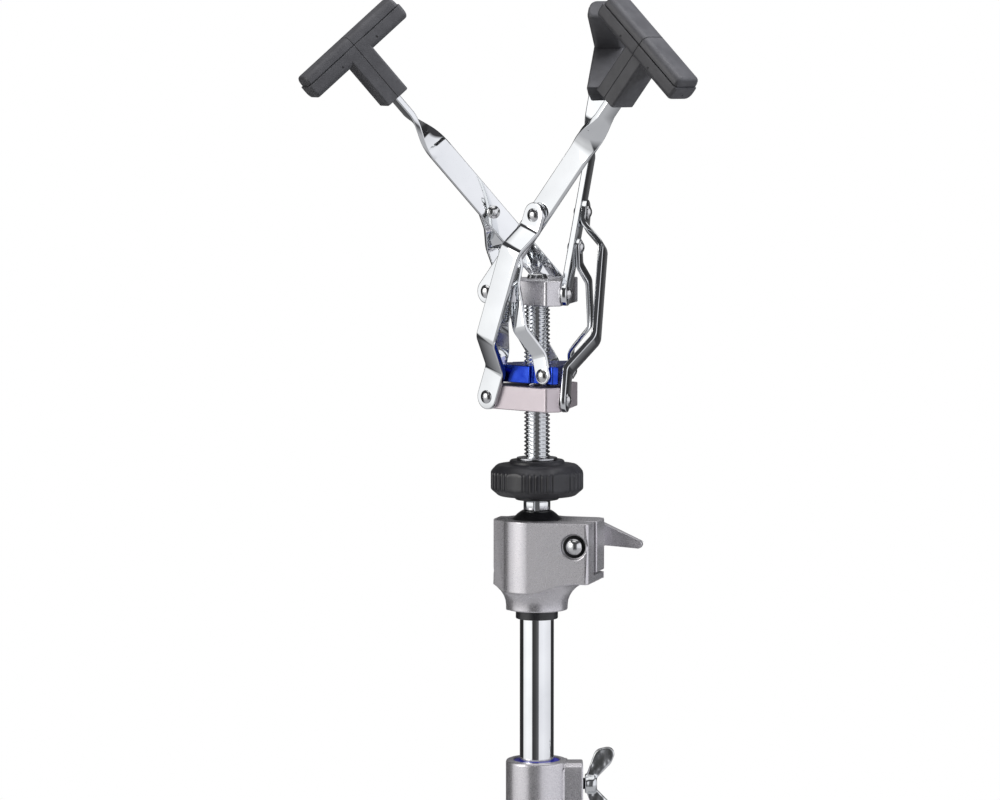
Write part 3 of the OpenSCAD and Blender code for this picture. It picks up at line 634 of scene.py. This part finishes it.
def strap(name, stations, half_width, thick, edge, warp, place):
    """Flat bar with rounded edges and ends, laid along a curve by warp(x, y, z)."""
    outline = strip_outline(stations, half_width)
    levels = edge_levels(thick, edge)
    points, rows = [], []
    for inset, z in levels:
        for way in (1, -1):
            row = []
            for x, y, a in outline:
                row.append(len(points))
                points.append(warp(x - inset * math.cos(a), way * (y - inset * math.sin(a)), z))
            rows.append(row)
    faces = []
    for j in range(len(levels)):
        upper, lower = rows[2 * j], rows[2 * j + 1]
        for i in range(len(outline) - 1):
            if j in (0, len(levels) - 1):
                faces.append((upper[i], upper[i + 1], lower[i + 1], lower[i]))
            if j:
                before, below = rows[2 * j - 2], rows[2 * j - 1]
                faces.append((before[i], before[i + 1], upper[i + 1], upper[i]))
                faces.append((below[i], lower[i], lower[i + 1], below[i + 1]))
    obj = piece_from(name, points, faces, place)
    obj.data.shade_smooth()
    return obj


def bent_line(corners, radius, segments=14):
    """Polyline with its inner corners rounded, as points with their tangent angles."""
    out = [(Vector(corners[0]), None)]
    for before, here, after in zip(corners, corners[1:], corners[2:]):
        a = (Vector(here) - Vector(before)).normalized()
        b = (Vector(after) - Vector(here)).normalized()
        turn = math.atan2(a[0] * b[1] - a[1] * b[0], a.dot(b))
        start = Vector(here) - a * (radius * math.tan(abs(turn) / 2))
        side = math.copysign(1, turn)
        centre = start + Vector((-a[1], a[0])) * radius * side
        first = math.atan2(a[1], a[0])
        for i in range(segments + 1):
            way = first + turn * i / segments
            out.append((centre + Vector((math.sin(way), -math.cos(way))) * radius * side, way))
    out.append((Vector(corners[-1]), None))
    out[0] = (out[0][0], out[1][1])
    out[-1] = (out[-1][0], out[-2][1])
    return out


def follow_line(line):
    """Returns the stations of a bent line and the map from the flat strip onto it."""
    lengths = [0.0]
    for (p, _), (q, _) in zip(line, line[1:]):
        lengths.append(lengths[-1] + (q - p).length)

    def at(x):
        """Point and tangent angle of the line at the length x."""
        i = 1
        while i < len(line) - 1 and lengths[i] < x:
            i += 1
        share = (x - lengths[i - 1]) / max(lengths[i] - lengths[i - 1], 1e-6)
        (p, a), (q, b) = line[i - 1], line[i]
        return p + (q - p) * share, a + (b - a) * min(max(share, 0), 1)

    def warp(x, y, z):
        """Lays a point of the flat strip on the line."""
        centre, way = at(x)
        return (centre[0] - math.sin(way) * z, centre[1] + math.cos(way) * z, y)

    return lengths, warp


# Basket arms and links


def build_arm(k):
    """Strap of an arm, with the quarter twist before its tang."""
    spread, eased = 6, 0.65
    stations = [0, 20, 40, 60, 80, 100, 120]
    stations += [TWIST_FROM - spread + (TWIST_LEN + 2 * spread) * i / 60 for i in range(61)]
    stations += [190, 205, TANG_END - ARM_W / 2]

    def warp(x, y, z):
        """Turns the strip about its own line, gently at both ends of the twist."""
        share = (x - TWIST_FROM + spread / 2) / (TWIST_LEN + spread)
        share = min(max(share, 0), 1)
        share = (1 - eased) * share + eased * (3 * share**2 - 2 * share**3)
        a = share * math.pi / 2
        return (x, z * math.cos(a) - y * math.sin(a), z * math.sin(a) + y * math.cos(a))

    name = "arm_" + ARMS[k]
    obj = strap(name + "_strap", stations, ARM_W / 2, ARM_T, 0.9, warp, along_arm(k))
    finish_as(obj, name)


def build_link(k, kind):
    """Strap of a link: seated on its collar, bowed out, and back in to the arm."""
    link = LINKS[kind]
    low, high = link.foot, on_arm(link.rivet_at)
    half_thick = link.thick / 2
    bottom = link.collar_face + SIDE_GAP + half_thick
    top = LINK_IN + half_thick
    foot_end, bow_start, bow_end, top_start = link.bends
    corners = [(0, -bottom), (foot_end, -bottom), (bow_start, -link.bow)]
    corners += [(bow_end, -link.bow), (top_start, -top), ((high - low).length, -top)]
    stations, warp = follow_line(bent_line(corners, 7 + half_thick))
    name = f"{kind}_link_{ARMS[k]}"
    place = along_link(k, low, high)
    obj = strap(name + "_strap", stations, link.width / 2, link.thick, 0.8, warp, place)
    finish_as(obj, name)


# Rubber pads


def rounded_section(low, high, half, low_r, high_r, steps=5):
    """Outline of a bar's section: low..high one way and -half..half the other."""
    room = (high - low) / (low_r + high_r)
    low_r, high_r = low_r * min(1, room), high_r * min(1, room)
    left, right = low + low_r, high - high_r
    corners = (
        (left, low_r - half, low_r, 180),
        (right, high_r - half, high_r, 270),
        (right, half - high_r, high_r, 0),
        (left, half - low_r, low_r, 90),
    )
    out = []
    for cx, cy, r, first in corners:
        for i in range(steps + 1):
            a = math.radians(first + 90 * i / steps)
            out.append((cx + r * math.cos(a), cy + r * math.sin(a)))
    return out


def loft(sections):
    """Points and faces of a solid through sections of the same number of points."""
    count = len(sections[0])
    points = [p for section in sections for p in section]
    faces = ring_faces(len(sections), count)
    faces.append(tuple(range(count)))
    faces.append(tuple((len(sections) - 1) * count + i for i in reversed(range(count))))
    return points, faces


def round_end(length, radius, steps=5):
    """Stations of a bar with rounded ends, as (place, inset)."""
    turn = [math.pi / 2 * i / steps for i in range(steps + 1)]
    end = [(length / 2 - radius + radius * math.sin(a), radius - radius * math.cos(a)) for a in turn]
    return [(-at, inset) for at, inset in reversed(end)] + end


def cross_bar(length, end_r, section):
    """Bar across the arm: section(inset) gives its outline at an inset from its ends."""
    return [
        [(ARM_LEN + x, PAD_LIFT + y, at) for x, y in section(inset)]
        for at, inset in round_end(length, end_r)
    ]


def build_pad(k):
    """T of three parts: a sleeve over the strap, a base and a crowned grip beyond a groove."""

    def base(inset):
        half = 12 - 0.8 * inset
        return rounded_section(low=-9.5 + inset, high=1.8, half=half, low_r=4.6, high_r=0.7)

    def neck(inset):
        return rounded_section(low=-1, high=5, half=10.2, low_r=1, high_r=1)

    def grip(inset):
        half = 11.8 - 0.9 * inset
        return rounded_section(low=2.2, high=9.4 - inset, half=half, low_r=0.8, high_r=5.2)

    def sleeve(inset):
        reach = 10 - inset
        return rounded_section(low=-reach, high=reach, half=11.6 - inset, low_r=1.8, high_r=1.8)

    along_sleeve = [
        [(ARM_LEN - SLEEVE_BACK + at, PAD_LIFT + SLEEVE_LIFT + y, z) for z, y in sleeve(inset)]
        for at, inset in round_end(length=50.6, radius=0.8)
    ]
    bars = (
        cross_bar(length=92, end_r=3.0, section=base),
        cross_bar(length=88, end_r=1.0, section=neck),
        cross_bar(length=89.4, end_r=2.8, section=grip),
        along_sleeve,
    )
    points, faces = [], []
    for sections in bars:
        some, more = loft(sections)
        faces += [tuple(i + len(points) for i in face) for face in more]
        points += some
    name = "pad_" + ARMS[k]
    place = along_arm(k)
    obj = piece_from(name + "_rubber", points, faces, place)
    back = place.inverted()
    own = [back @ (v.co / MM) - Vector((ARM_LEN, PAD_LIFT, 0)) for v in obj.data.vertices]
    layer = obj.data.attributes.new("own_place", "FLOAT_VECTOR", "POINT")
    layer.data.foreach_set("vector", [c for p in own for c in p])
    smooth(obj, 40)
    weigh_normals(obj)
    finish_as(obj, name)


# Rivets


def rivet_tree():
    """Geometry nodes that put a head on each point, turned to its direction."""
    tree = bpy.data.node_groups.new("Rivet heads", "GeometryNodeTree")
    inputs = {"Geometry": "Geometry", "Head": "Object", "Scale": "Float", "Material": "Material"}
    for name, kind in inputs.items():
        tree.interface.new_socket(name, in_out="INPUT", socket_type="NodeSocket" + kind)
    tree.interface.new_socket("Geometry", in_out="OUTPUT", socket_type="NodeSocketGeometry")
    start = add(tree, "NodeGroupInput")
    head = add(tree, "GeometryNodeObjectInfo", {"Object": start.outputs["Head"]})
    way = add(tree, "GeometryNodeInputNamedAttribute", {"Name": "way"}, data_type="FLOAT_VECTOR")
    turn = add(tree, "FunctionNodeAlignRotationToVector", {"Vector": way.outputs[0]}, axis="Z")
    put = add(
        tree,
        "GeometryNodeInstanceOnPoints",
        {
            "Points": start.outputs["Geometry"],
            "Instance": head.outputs["Geometry"],
            "Rotation": turn.outputs["Rotation"],
            "Scale": start.outputs["Scale"],
        },
    )
    real = add(tree, "GeometryNodeRealizeInstances", {"Geometry": put.outputs[0]})
    finish = {"Geometry": real.outputs[0], "Material": start.outputs["Material"]}
    done = add(tree, "GeometryNodeSetMaterial", finish)
    add(tree, "NodeGroupOutput", {"Geometry": done.outputs[0]})
    return tree


def rivet_head(radius, height):
    """Head of a riveted pin: a dome with a rolled rim and the mark of the punch."""
    rim, rings, punch_r, punch_depth = 0.5, 10, 0.55, 0.28
    profile = [(radius - 0.35, 0.0), (radius - 0.08, 0.12), (radius, 0.42), (radius - 0.12, 0.74)]
    ball = (radius**2 + height**2) / (2 * height)
    for i in range(1, rings):
        r = (radius - rim) * (1 - i / rings)
        profile.append((r, math.sqrt(ball**2 - r**2) - ball + height))
    profile.append((punch_r, height - punch_depth))
    head = lathe_grid("rivet_head", full_turn(48), profile, lambda a, row: row)
    smooth(head, 50)
    head.hide_render = True
    head.hide_viewport = True
    return head


def rivet_points(name, places):
    """Object with a point and a direction for each head."""
    mesh = bpy.data.meshes.new(name + "_rivets")
    mesh.from_pydata([Vector(p) * MM for p, _ in places], [], [])
    layer = mesh.attributes.new("way", "FLOAT_VECTOR", "POINT")
    layer.data.foreach_set("vector", [c for _, d in places for c in d])
    return link_object(name + "_rivets", mesh)


def put_rivets(tree, head, name, places, body, scale=1.0):
    """Heads at places, each a point and the direction that it faces."""
    obj = rivet_points(name, places)
    modifier = obj.modifiers.new("Heads", "NODES")
    modifier.node_group = tree
    inputs = [item for item in tree.interface.items_tree if item.in_out == "INPUT"]
    ids = {item.name: item.identifier for item in inputs}
    modifier[ids["Head"]] = head
    modifier[ids["Scale"]] = scale
    modifier[ids["Material"]] = MATERIALS["bright_rivet"]
    bake(obj)
    smooth(obj, 50)
    return finish_piece(obj, [], body, "bright_rivet")


def head_place(k, spot, out, face=-1):
    """Point of the swing plane at a distance out from the rod, and the way its head faces."""
    plane = swing_plane(k)
    return plane @ Vector((spot[0], -out, spot[1])), plane.to_3x3() @ Vector((0, face, 0))


def arm_rivet_places(k):
    """Heads on both ends of the two rivets of an arm."""
    places = []
    for link in LINKS.values():
        spot = on_arm(link.rivet_at)
        places.append(head_place(k, spot, LINK_IN + link.thick + SEAT_GAP))
        places.append(head_place(k, spot, ARM_IN, 1))
    return places


def build_bolt_head(tree, head):
    """Domed head of the jaw bolt on a dark washer in its recess; the washer's dark black steel is
    painted shade, standing for the shadow in the recess.
    """
    head_scale, shade_ring_hole, shade_ring_r = 1.22, 5.6, 8.4
    place = clamp_frame()
    spot = place @ Vector((JAW_BOLT_X, -BLOCK_R + RECESS_DEPTH, JAW_BOLT_H))
    out = place.to_3x3() @ Vector((0, -1, 0))
    body = BODY_OF["jaw_bolt"]
    put_rivets(tree, head, "jaw_bolt", [(spot, out)], body, head_scale)
    upright = Matrix.Rotation(math.pi / 2, 4, "X")
    turned = Matrix.Translation(spot) @ place.to_3x3().to_4x4() @ upright
    # Painted shade: a dark ring of black steel in the bolt's recess, where the shadow falls
    rows = [(shade_ring_hole, -0.4), (shade_ring_r - 0.4, -0.4), (shade_ring_r, -0.1)]
    rows += [(shade_ring_r - 0.2, 0.1), (shade_ring_hole, 0.3)]
    washer = lathe_grid(
        "jaw_bolt_washer", full_turn(64), rows, lambda a, row: row, close_ends=False, place=turned
    )
    smooth(washer, 40)
    finish_piece(washer, [], body, "black_steel")


# Rod and knob


def rod_angles(groove, half_key):
    """Angles round the rod, with close ones at both edges of the key groove."""
    edge, around = math.radians(0.25), 84
    angles = [groove - half_key - edge, groove - half_key, groove - half_key / 2, groove]
    angles += [groove + half_key / 2, groove + half_key, groove + half_key + edge]
    rest = 2 * math.pi - 2 * (half_key + edge)
    angles += [groove + half_key + edge + rest * i / around for i in range(1, around)]
    return angles


def build_rod(pitch):
    """Screw with a rolled thread, its plain shank and the key groove down the front."""
    spigot_r, spigot_end = SHANK_R - 4, -9.5
    shank_foot, shank_top = BALL_FLAT + SIDE_GAP, KNOB_Z - BALL_Z
    foot_bevel, top_bevel, bevel = 0.7, 1.2, 0.5
    thread_from = shank_top - 0.7
    depth, flank_top, flank_slope, rows_a_turn = 1.45, 1.28, 3.1, 9
    groove = -math.pi / 2
    half_key = math.asin(KEY_W / 2 / ROD_R)
    rows = [spigot_end, shank_foot - 0.01, shank_foot, shank_foot + foot_bevel]
    rows += [shank_top - 3, shank_top - 1.4, shank_top - top_bevel, shank_top - 0.8]
    z = shank_top - 0.6
    while z < ROD_TOP:
        rows.append(z)
        z += pitch / rows_a_turn
    rows.append(ROD_TOP)

    def thread_r(a, z):
        """Radius of the thread, whose ridge climbs by the pitch in a turn."""
        turn = (z / pitch - (a + math.pi) / (2 * math.pi)) % 1
        crest = min(1.0, max(0.0, flank_top - abs(turn - 0.5) * flank_slope))
        fade = min(1.0, (z - thread_from) / pitch)
        return ROD_R - depth * fade * (1 - crest)

    def profile(a, z):
        """Radius and height at an angle and a height over the ball's centre."""
        if z < shank_foot - 0.005:
            return spigot_r, z + BALL_Z
        if z < thread_from:
            bevelled = z < shank_foot + foot_bevel / 2 or z > shank_top - 1
            r = SHANK_R - bevel if bevelled else SHANK_R
        else:
            r = thread_r(a, z)
        off = math.atan2(math.sin(a - groove), math.cos(a - groove))
        if abs(off) <= half_key + 1e-6:
            r = min(r, (ROD_R - KEY_D) / math.cos(off))
        return r, z + BALL_Z

    obj = lathe_grid("threaded_rod_steel", rod_angles(groove, half_key), rows, profile)
    smooth(obj, 40)
    finish_as(obj, "threaded_rod")


def knob_rim(a):
    """How far out the knob's rim reaches at an angle, with its scoops and flutes."""
    lobe = 360 / LOBES
    turn = math.degrees(a) % lobe
    away = math.radians(turn - lobe if turn > lobe / 2 else turn)
    centre = KNOB_R + SCOOP_OUT
    inside = SCOOP_R**2 - (centre * math.sin(away)) ** 2
    out = KNOB_R
    if inside > 0:
        out = min(out, centre * math.cos(away) - math.sqrt(inside))
    centre = KNOB_R + FLUTE_OUT
    for j in range(FLUTES):
        off = math.radians(turn - lobe / 2 - FLUTE_STEP * (j - (FLUTES - 1) / 2))
        inside = FLUTE_R**2 - (centre * math.sin(off)) ** 2
        if inside > 0:
            out = min(out, centre * math.cos(off) - math.sqrt(inside))
    return out


def knob_rows(spacing):
    """Points of the knob's section from its boss round its rim and ring to its bore."""
    outline = [(BORE_R, 0), (BOSS_R - 1, 0), (BOSS_R - 0.3, 0.3), (BOSS_R, 1), (BOSS_R, RIM_LOW)]
    outline += [(KNOB_R - 7, RIM_LOW), (KNOB_R - 6.2, RIM_LOW + 0.4)]
    outline += [(KNOB_R - 0.6, RIM_LOW + 5.2), (KNOB_R, RIM_LOW + 6.2), (KNOB_R, RIM_HIGH - 7.2)]
    outline += [(KNOB_R - 0.4, RIM_HIGH - 6), (KNOB_R - 4.6, RIM_HIGH - 1.6)]
    outline += [(KNOB_R - 6, RIM_HIGH - 0.6), (RING_R + 3, RIM_HIGH), (RING_R + 0.5, RIM_HIGH + 0.5)]
    outline += [(RING_R, RING_TOP - 1.2), (RING_R - 0.3, RING_TOP - 0.5), (RING_R - 1, RING_TOP)]
    outline += [(BORE_R + 1, RING_TOP), (BORE_R + 0.3, RING_TOP - 0.3), (BORE_R, RING_TOP - 0.8)]
    rows = []
    for (r1, z1), (r2, z2) in zip(outline, outline[1:]):
        steps = max(1, round(math.hypot(r2 - r1, z2 - z1) / spacing))
        rows += [(r1 + (r2 - r1) * i / steps, z1 + (z2 - z1) * i / steps) for i in range(steps)]
    return rows + [outline[-1], outline[0]]


def build_knob():
    """Hand nut: fluted lobes between smooth scooped faces, a raised ring and a metal core."""
    lip = 0.5
    angles = full_turn(1080)
    limits = {a: knob_rim(a) for a in angles}

    def profile(a, row):
        """Draws the section in to the rim, with a rounded lip."""
        r, z = row
        edge = limits[a]
        if r > edge - 1.2:
            x = (r - edge) / lip
            r = edge - lip * math.log1p(math.exp(-x)) if x < 30 else edge
        return r, z + KNOB_Z + SIDE_GAP

    obj = lathe_grid("knob_nylon", angles, knob_rows(1.1), profile, close_ends=False)
    smooth(obj, 38)
    finish_as(obj, "knob")


# Groups of pieces, with the rounding of their edges in mm

CAST = {
    "brace_hub": 1.0,
    "leg_collar": 1.0,
    "height_clamp": 1.1,
    "tilter_body": 0.9,
    "tilter_jaw": 0.9,
    "tilter_lever": 0.5,
}
SPLIT_CLAMP = ("tilter_body", "tilter_jaw")
TURNED = {
    "upper_collar": 0.7,
    "lower_collar": 0.7,
    "basket_hub": 0.7,
    "hub_cap_screw": 0.5,
    "knob_insert": 0.3,
    "knob_washer": 0.3,
    "jaw_bolt": 0.4,
    "height_bolt": 0.3,
    "ball_seat_ring": 0.3,
    "tilt_ball": 0.4,
    "hub_pins": 0.0,
}
BASE = {
    "base_tube": 0.25,
    "base_tube_plug": 0.5,
    "brace_hub_pins": 0.3,
    "leg_collar_pins": 0.3,
    "height_tube": 0.25,
    "tube_guide": 0.3,
    "height_clamp_bush": 0.4,
    "height_brake_shoe": 0.2,
    "socket_bush": 0.5,
    **{f"leg_{i}": 0.45 for i in (1, 2, 3)},
    **{f"brace_{i}": 0.4 for i in (1, 2, 3)},
}
# Softened pieces, with the grain of their new mesh in mm and the rounds of smoothing
WINGS, WING_CELL, WING_ROUNDS = ("leg_wing_bolt", "height_wing"), 0.4, 22
FEET, FOOT_CELL, FOOT_ROUNDS = ("foot_1", "foot_2", "foot_3"), 0.6, 6


# Stage


# Where the lights point, and their colours: a warm side, a cool side and white from above
LIGHT_AIM = (0, 0, 0.55)
WARM, COOL, WHITE = "#fffdf9", "#f8fbff", "#ffffff"

# Studio round the stand, as (degrees from the camera's side towards the right, brightness)
STUDIO = (
    (-180, 0.10), (-155, 0.08), (-149, 0.02), (-106, 0.02), (-99, 0.85), (-70, 1.0), (-35, 0.95),
    (-30, 0.03), (-6, 0.06), (11, 0.13), (15, 0.80), (45, 0.86), (106, 0.7), (111, 0.02),
    (152, 0.03), (160, 0.08), (166, 0.10), (180, 0.10),
)
COOL_TINT = 1.035
# Heights between which the studio changes over, as sines of the angle over level
TABLE_EDGE, TABLE_SHARE = (-0.14, -0.3), 0.45
FLOOR_EDGE = (-0.42, -0.72)
WALL_TOP, CEILING_LIGHT = (0.46, 0.56), (0.80, 0.86)


def soft_light(name, place, size, watts, colour, shows=True):
    """Area light; with shows off, it lights paint and rubber but isn't seen in the metal."""
    light = bpy.data.lights.new(name, "AREA")
    light.shape = "RECTANGLE"
    light.size, light.size_y = size
    light.energy = watts
    light.color = linear(colour)[:3]
    obj = link_object(name, light)
    obj.visible_camera = False
    obj.visible_glossy = shows
    obj.location = place
    way = Vector(LIGHT_AIM) - Vector(place)
    obj.rotation_euler = way.to_track_quat("-Z", "Y").to_euler()


def studio_bands(tree, axes):
    """Brightness round the stand, from the direction's turn about the vertical."""
    back_y = maths(tree, "MULTIPLY", axes.outputs["Y"], -1.0)
    turn = maths(tree, "ARCTAN2", axes.outputs["X"], back_y)
    ramp = add(tree, "ShaderNodeValToRGB", {"Fac": span(tree, turn, 0, 1, -math.pi, math.pi)})
    bands = ramp.color_ramp
    while len(bands.elements) < len(STUDIO):
        bands.elements.new(0.5)
    for element, (degrees, value) in zip(bands.elements, STUDIO):
        element.position = (degrees + 180) / 360
        element.color = (value, value, value * (COOL_TINT if degrees > 0 else 1.0), 1)
    return ramp.outputs["Color"]


def build_world():
    """White for the camera, and for metal a studio of bright and dark bands.

    Below level the bands darken to a table and then turn to a pale floor, and above them lies a
    dark ceiling with a light in its middle.
    """
    world = bpy.data.worlds.new("Studio")
    bpy.context.scene.world = world
    world.use_nodes = True
    tree = world.node_tree
    tree.nodes.clear()
    way = add(tree, "ShaderNodeTexCoord").outputs["Generated"]
    axes = add(tree, "ShaderNodeSeparateXYZ", {0: way})
    height = axes.outputs["Z"]
    ceiling = blend(tree, span(tree, height, 0, 1, *CEILING_LIGHT), "#3c3c3e", "#ffffff")
    bands = studio_bands(tree, axes)
    table = blend(tree, span(tree, height, 0, TABLE_SHARE, *TABLE_EDGE), bands, "#48484b")
    ground = blend(tree, span(tree, height, 0, 1, *FLOOR_EDGE), table, "#acacae")
    studio = blend(tree, span(tree, height, 0, 1, *WALL_TOP), ground, ceiling)
    path = add(tree, "ShaderNodeLightPath")
    shown = blend(tree, path.outputs["Is Glossy Ray"], "#626366", studio)
    shown = blend(tree, path.outputs["Is Camera Ray"], shown, "#ffffff")
    strength = span(tree, path.outputs["Is Glossy Ray"], 1.0, 1.22)
    back = add(tree, "ShaderNodeBackground", {"Color": shown, "Strength": strength})
    add(tree, "ShaderNodeOutputWorld", {"Surface": back.outputs[0]})


def build_floor():
    """Pale floor that fades into the white background."""
    radius, fade_from, fade_to = 1.6, 0.45, 1.25
    mesh = bpy.data.meshes.new("floor")
    work = bmesh.new()
    bmesh.ops.create_circle(work, cap_ends=True, segments=96, radius=radius)
    work.to_mesh(mesh)
    work.free()
    obj = link_object("floor", mesh)
    obj.visible_glossy = False
    material, tree, place = new_material("Pale studio floor")
    away = add(tree, "ShaderNodeVectorMath", {0: place}, operation="LENGTH").outputs["Value"]
    fade = span(tree, away, 0, 1, fade_from, fade_to)
    paint = add(tree, "ShaderNodeBsdfDiffuse", {"Color": linear("#f1f1f1")}).outputs[0]
    clear = add(tree, "ShaderNodeBsdfTransparent").outputs[0]
    mixed = add(tree, "ShaderNodeMixShader", {0: fade, 1: paint, 2: clear})
    add(tree, "ShaderNodeOutputMaterial", {"Surface": mixed.outputs[0]})
    mesh.materials.append(material)


def build_camera():
    """The photograph's view: long lens, a little over level."""
    down, away = math.radians(4.88), 2.96
    aim = Vector((-0.0274, 0, 0.5666))
    camera = bpy.data.cameras.new("photo")
    camera.lens = 144
    camera.sensor_width = 36
    camera.clip_end = 50
    obj = link_object("photo", camera)
    obj.location = aim + away * Vector((0, -math.cos(down), math.sin(down)))
    obj.rotation_euler = (math.pi / 2 - down, 0, 0)
    bpy.context.scene.camera = obj


# Add-on


class StandSettings(bpy.types.PropertyGroup):
    """Sizes, colours and lights that the pieces and the stage take."""

    edge_scale: bpy.props.FloatProperty(
        name="Edge rounding",
        description="Factor on every rounded edge",
        default=1.0,
        min=0.2,
        max=2,
        subtype="FACTOR",
    )
    thread_pitch: bpy.props.FloatProperty(
        name="Thread pitch",
        description="Distance between the ridges of the rod's thread",
        default=3.0 * MM,
        min=1.0 * MM,
        max=6.0 * MM,
        unit="LENGTH",
    )
    collar_deep: bpy.props.FloatVectorProperty(
        name="Collar, deep",
        description="Dye of the upper collar where it is deepest",
        default=linear("#2440b8")[:3],
        min=0,
        max=1,
        subtype="COLOR",
    )
    collar_bright: bpy.props.FloatVectorProperty(
        name="Collar, bright",
        description="Dye of the upper collar where it is thinnest",
        default=linear("#4468e6")[:3],
        min=0,
        max=1,
        subtype="COLOR",
    )
    rubber_clean: bpy.props.FloatVectorProperty(
        name="Rubber",
        description="Colour of the pads' rubber where it is clean",
        default=linear("#3d3d40")[:3],
        min=0,
        max=1,
        subtype="COLOR",
    )
    rubber_dusty: bpy.props.FloatVectorProperty(
        name="Dusty rubber",
        description="Colour of the pads' rubber under dust",
        default=linear("#505053")[:3],
        min=0,
        max=1,
        subtype="COLOR",
    )
    key_watts: bpy.props.FloatProperty(
        name="Key light",
        description="Power of the light on the left that the metal shows",
        default=21.25,
        min=0,
        unit="POWER",
    )
    wash_watts: bpy.props.FloatProperty(
        name="Wash light",
        description="Power of the light on the left that the metal hides",
        default=8.5,
        min=0,
        unit="POWER",
    )
    fill_watts: bpy.props.FloatProperty(
        name="Fill light",
        description="Power of the light on the right",
        default=60.0,
        min=0,
        unit="POWER",
    )
    top_watts: bpy.props.FloatProperty(
        name="Top light",
        description="Power of the light above",
        default=80.0,
        min=0,
        unit="POWER",
    )


class STAND_OT_castings(bpy.types.Operator):
    """Dresses the painted and plated castings"""

    bl_idname = "stand.castings"
    bl_label = "Castings"

    def execute(self, context):
        for node, width in CAST.items():
            shape = slant_lug if node in SPLIT_CLAMP else None
            dress(node, width * context.scene.stand.edge_scale, 3, shape=shape)
        for node in WINGS:
            soften(node, WING_CELL, WING_ROUNDS, "cast_chrome")
        return {"FINISHED"}


class STAND_OT_turned(bpy.types.Operator):
    """Dresses the collars, the hub and the small turned parts"""

    bl_idname = "stand.turned"
    bl_label = "Collars and hub"

    def execute(self, context):
        for node, width in TURNED.items():
            dress(node, width * context.scene.stand.edge_scale)
        return {"FINISHED"}


class STAND_OT_base(bpy.types.Operator):
    """Dresses the tubes, legs, braces and feet"""

    bl_idname = "stand.base"
    bl_label = "Tripod and tubes"

    def execute(self, context):
        for node, width in BASE.items():
            dress(node, width * context.scene.stand.edge_scale)
        for node in FEET:
            soften(node, FOOT_CELL, FOOT_ROUNDS)
        return {"FINISHED"}


class STAND_OT_basket(bpy.types.Operator):
    """Builds the basket's arms and links as rolled and bent straps"""

    bl_idname = "stand.basket"
    bl_label = "Arms and links"

    def execute(self, context):
        for k in range(len(ARMS)):
            build_arm(k)
            for kind in LINKS:
                build_link(k, kind)
        return {"FINISHED"}


class STAND_OT_pads(bpy.types.Operator):
    """Builds the rubber pads"""

    bl_idname = "stand.pads"
    bl_label = "Pads"

    def execute(self, context):
        for k in range(len(ARMS)):
            build_pad(k)
        return {"FINISHED"}


class STAND_OT_rivets(bpy.types.Operator):
    """Puts the heads on the basket's rivets and on the clamp's bolt"""

    bl_idname = "stand.rivets"
    bl_label = "Rivets"

    def execute(self, context):
        tree = rivet_tree()
        head = rivet_head(HEAD_R, HEAD_H)
        for k, arm in enumerate(ARMS):
            name = "arm_rivets_" + arm
            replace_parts(put_rivets(tree, head, name, arm_rivet_places(k), BODY_OF[name]), name)
            for kind, link in LINKS.items():
                name = f"{kind}_link_{arm}"
                out = link.collar_face + SIDE_GAP + link.thick
                put_rivets(tree, head, name, [head_place(k, link.foot, out)], BODY_OF[name])
        build_bolt_head(tree, head)
        bpy.data.objects.remove(head)
        return {"FINISHED"}


class STAND_OT_rod(bpy.types.Operator):
    """Builds the threaded rod and the knob on it"""

    bl_idname = "stand.rod"
    bl_label = "Rod and knob"

    def execute(self, context):
        build_rod(round(context.scene.stand.thread_pitch / MM, 3))
        build_knob()
        return {"FINISHED"}


class STAND_OT_stage(bpy.types.Operator):
    """Sets up the floor, the lights and the camera"""

    bl_idname = "stand.stage"
    bl_label = "Stage"

    def execute(self, context):
        power = context.scene.stand
        context.scene.view_settings.view_transform = "Standard"
        build_world()
        build_floor()
        build_camera()
        soft_light("key", (-2.2, -1.1, 1.3), (1.2, 1.8), power.key_watts, WARM)
        soft_light("wash", (-2.3, -0.5, 1.1), (1.2, 1.8), power.wash_watts, WARM, False)
        soft_light("fill", (2.4, -0.7, 1.3), (0.7, 1.4), power.fill_watts, COOL, False)
        soft_light("top", (0.5, -0.4, 2.4), (1.4, 1.2), power.top_watts, WHITE, False)
        return {"FINISHED"}


class STAND_PT_panel(bpy.types.Panel):
    """Sizes, colours, lights and the build steps"""

    bl_label = "Drum stand"
    bl_space_type = "VIEW_3D"
    bl_region_type = "UI"
    bl_category = "Drum stand"

    def draw(self, context):
        for name in StandSettings.__annotations__:
            self.layout.prop(context.scene.stand, name)
        for step in STEPS:
            self.layout.operator(step.bl_idname)


STEPS = (
    STAND_OT_castings,
    STAND_OT_turned,
    STAND_OT_base,
    STAND_OT_basket,
    STAND_OT_pads,
    STAND_OT_rivets,
    STAND_OT_rod,
    STAND_OT_stage,
)


def register():
    """Adds the settings, the build steps and the panel."""
    for kind in (StandSettings, *STEPS, STAND_PT_panel):
        bpy.utils.register_class(kind)
    bpy.types.Scene.stand = bpy.props.PointerProperty(type=StandSettings)


def unregister():
    """Takes the panel, the build steps and the settings away."""
    del bpy.types.Scene.stand
    for kind in reversed((StandSettings, *STEPS, STAND_PT_panel)):
        bpy.utils.unregister_class(kind)


def main():
    """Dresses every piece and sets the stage."""
    register()
    MATERIALS.update(make_materials(bpy.context.scene.stand))
    bpy.ops.stand.castings()
    bpy.ops.stand.turned()
    bpy.ops.stand.base()
    bpy.ops.stand.basket()
    bpy.ops.stand.pads()
    bpy.ops.stand.rivets()
    bpy.ops.stand.rod()
    bpy.ops.stand.stage()


if __name__ == "__main__":
    main()
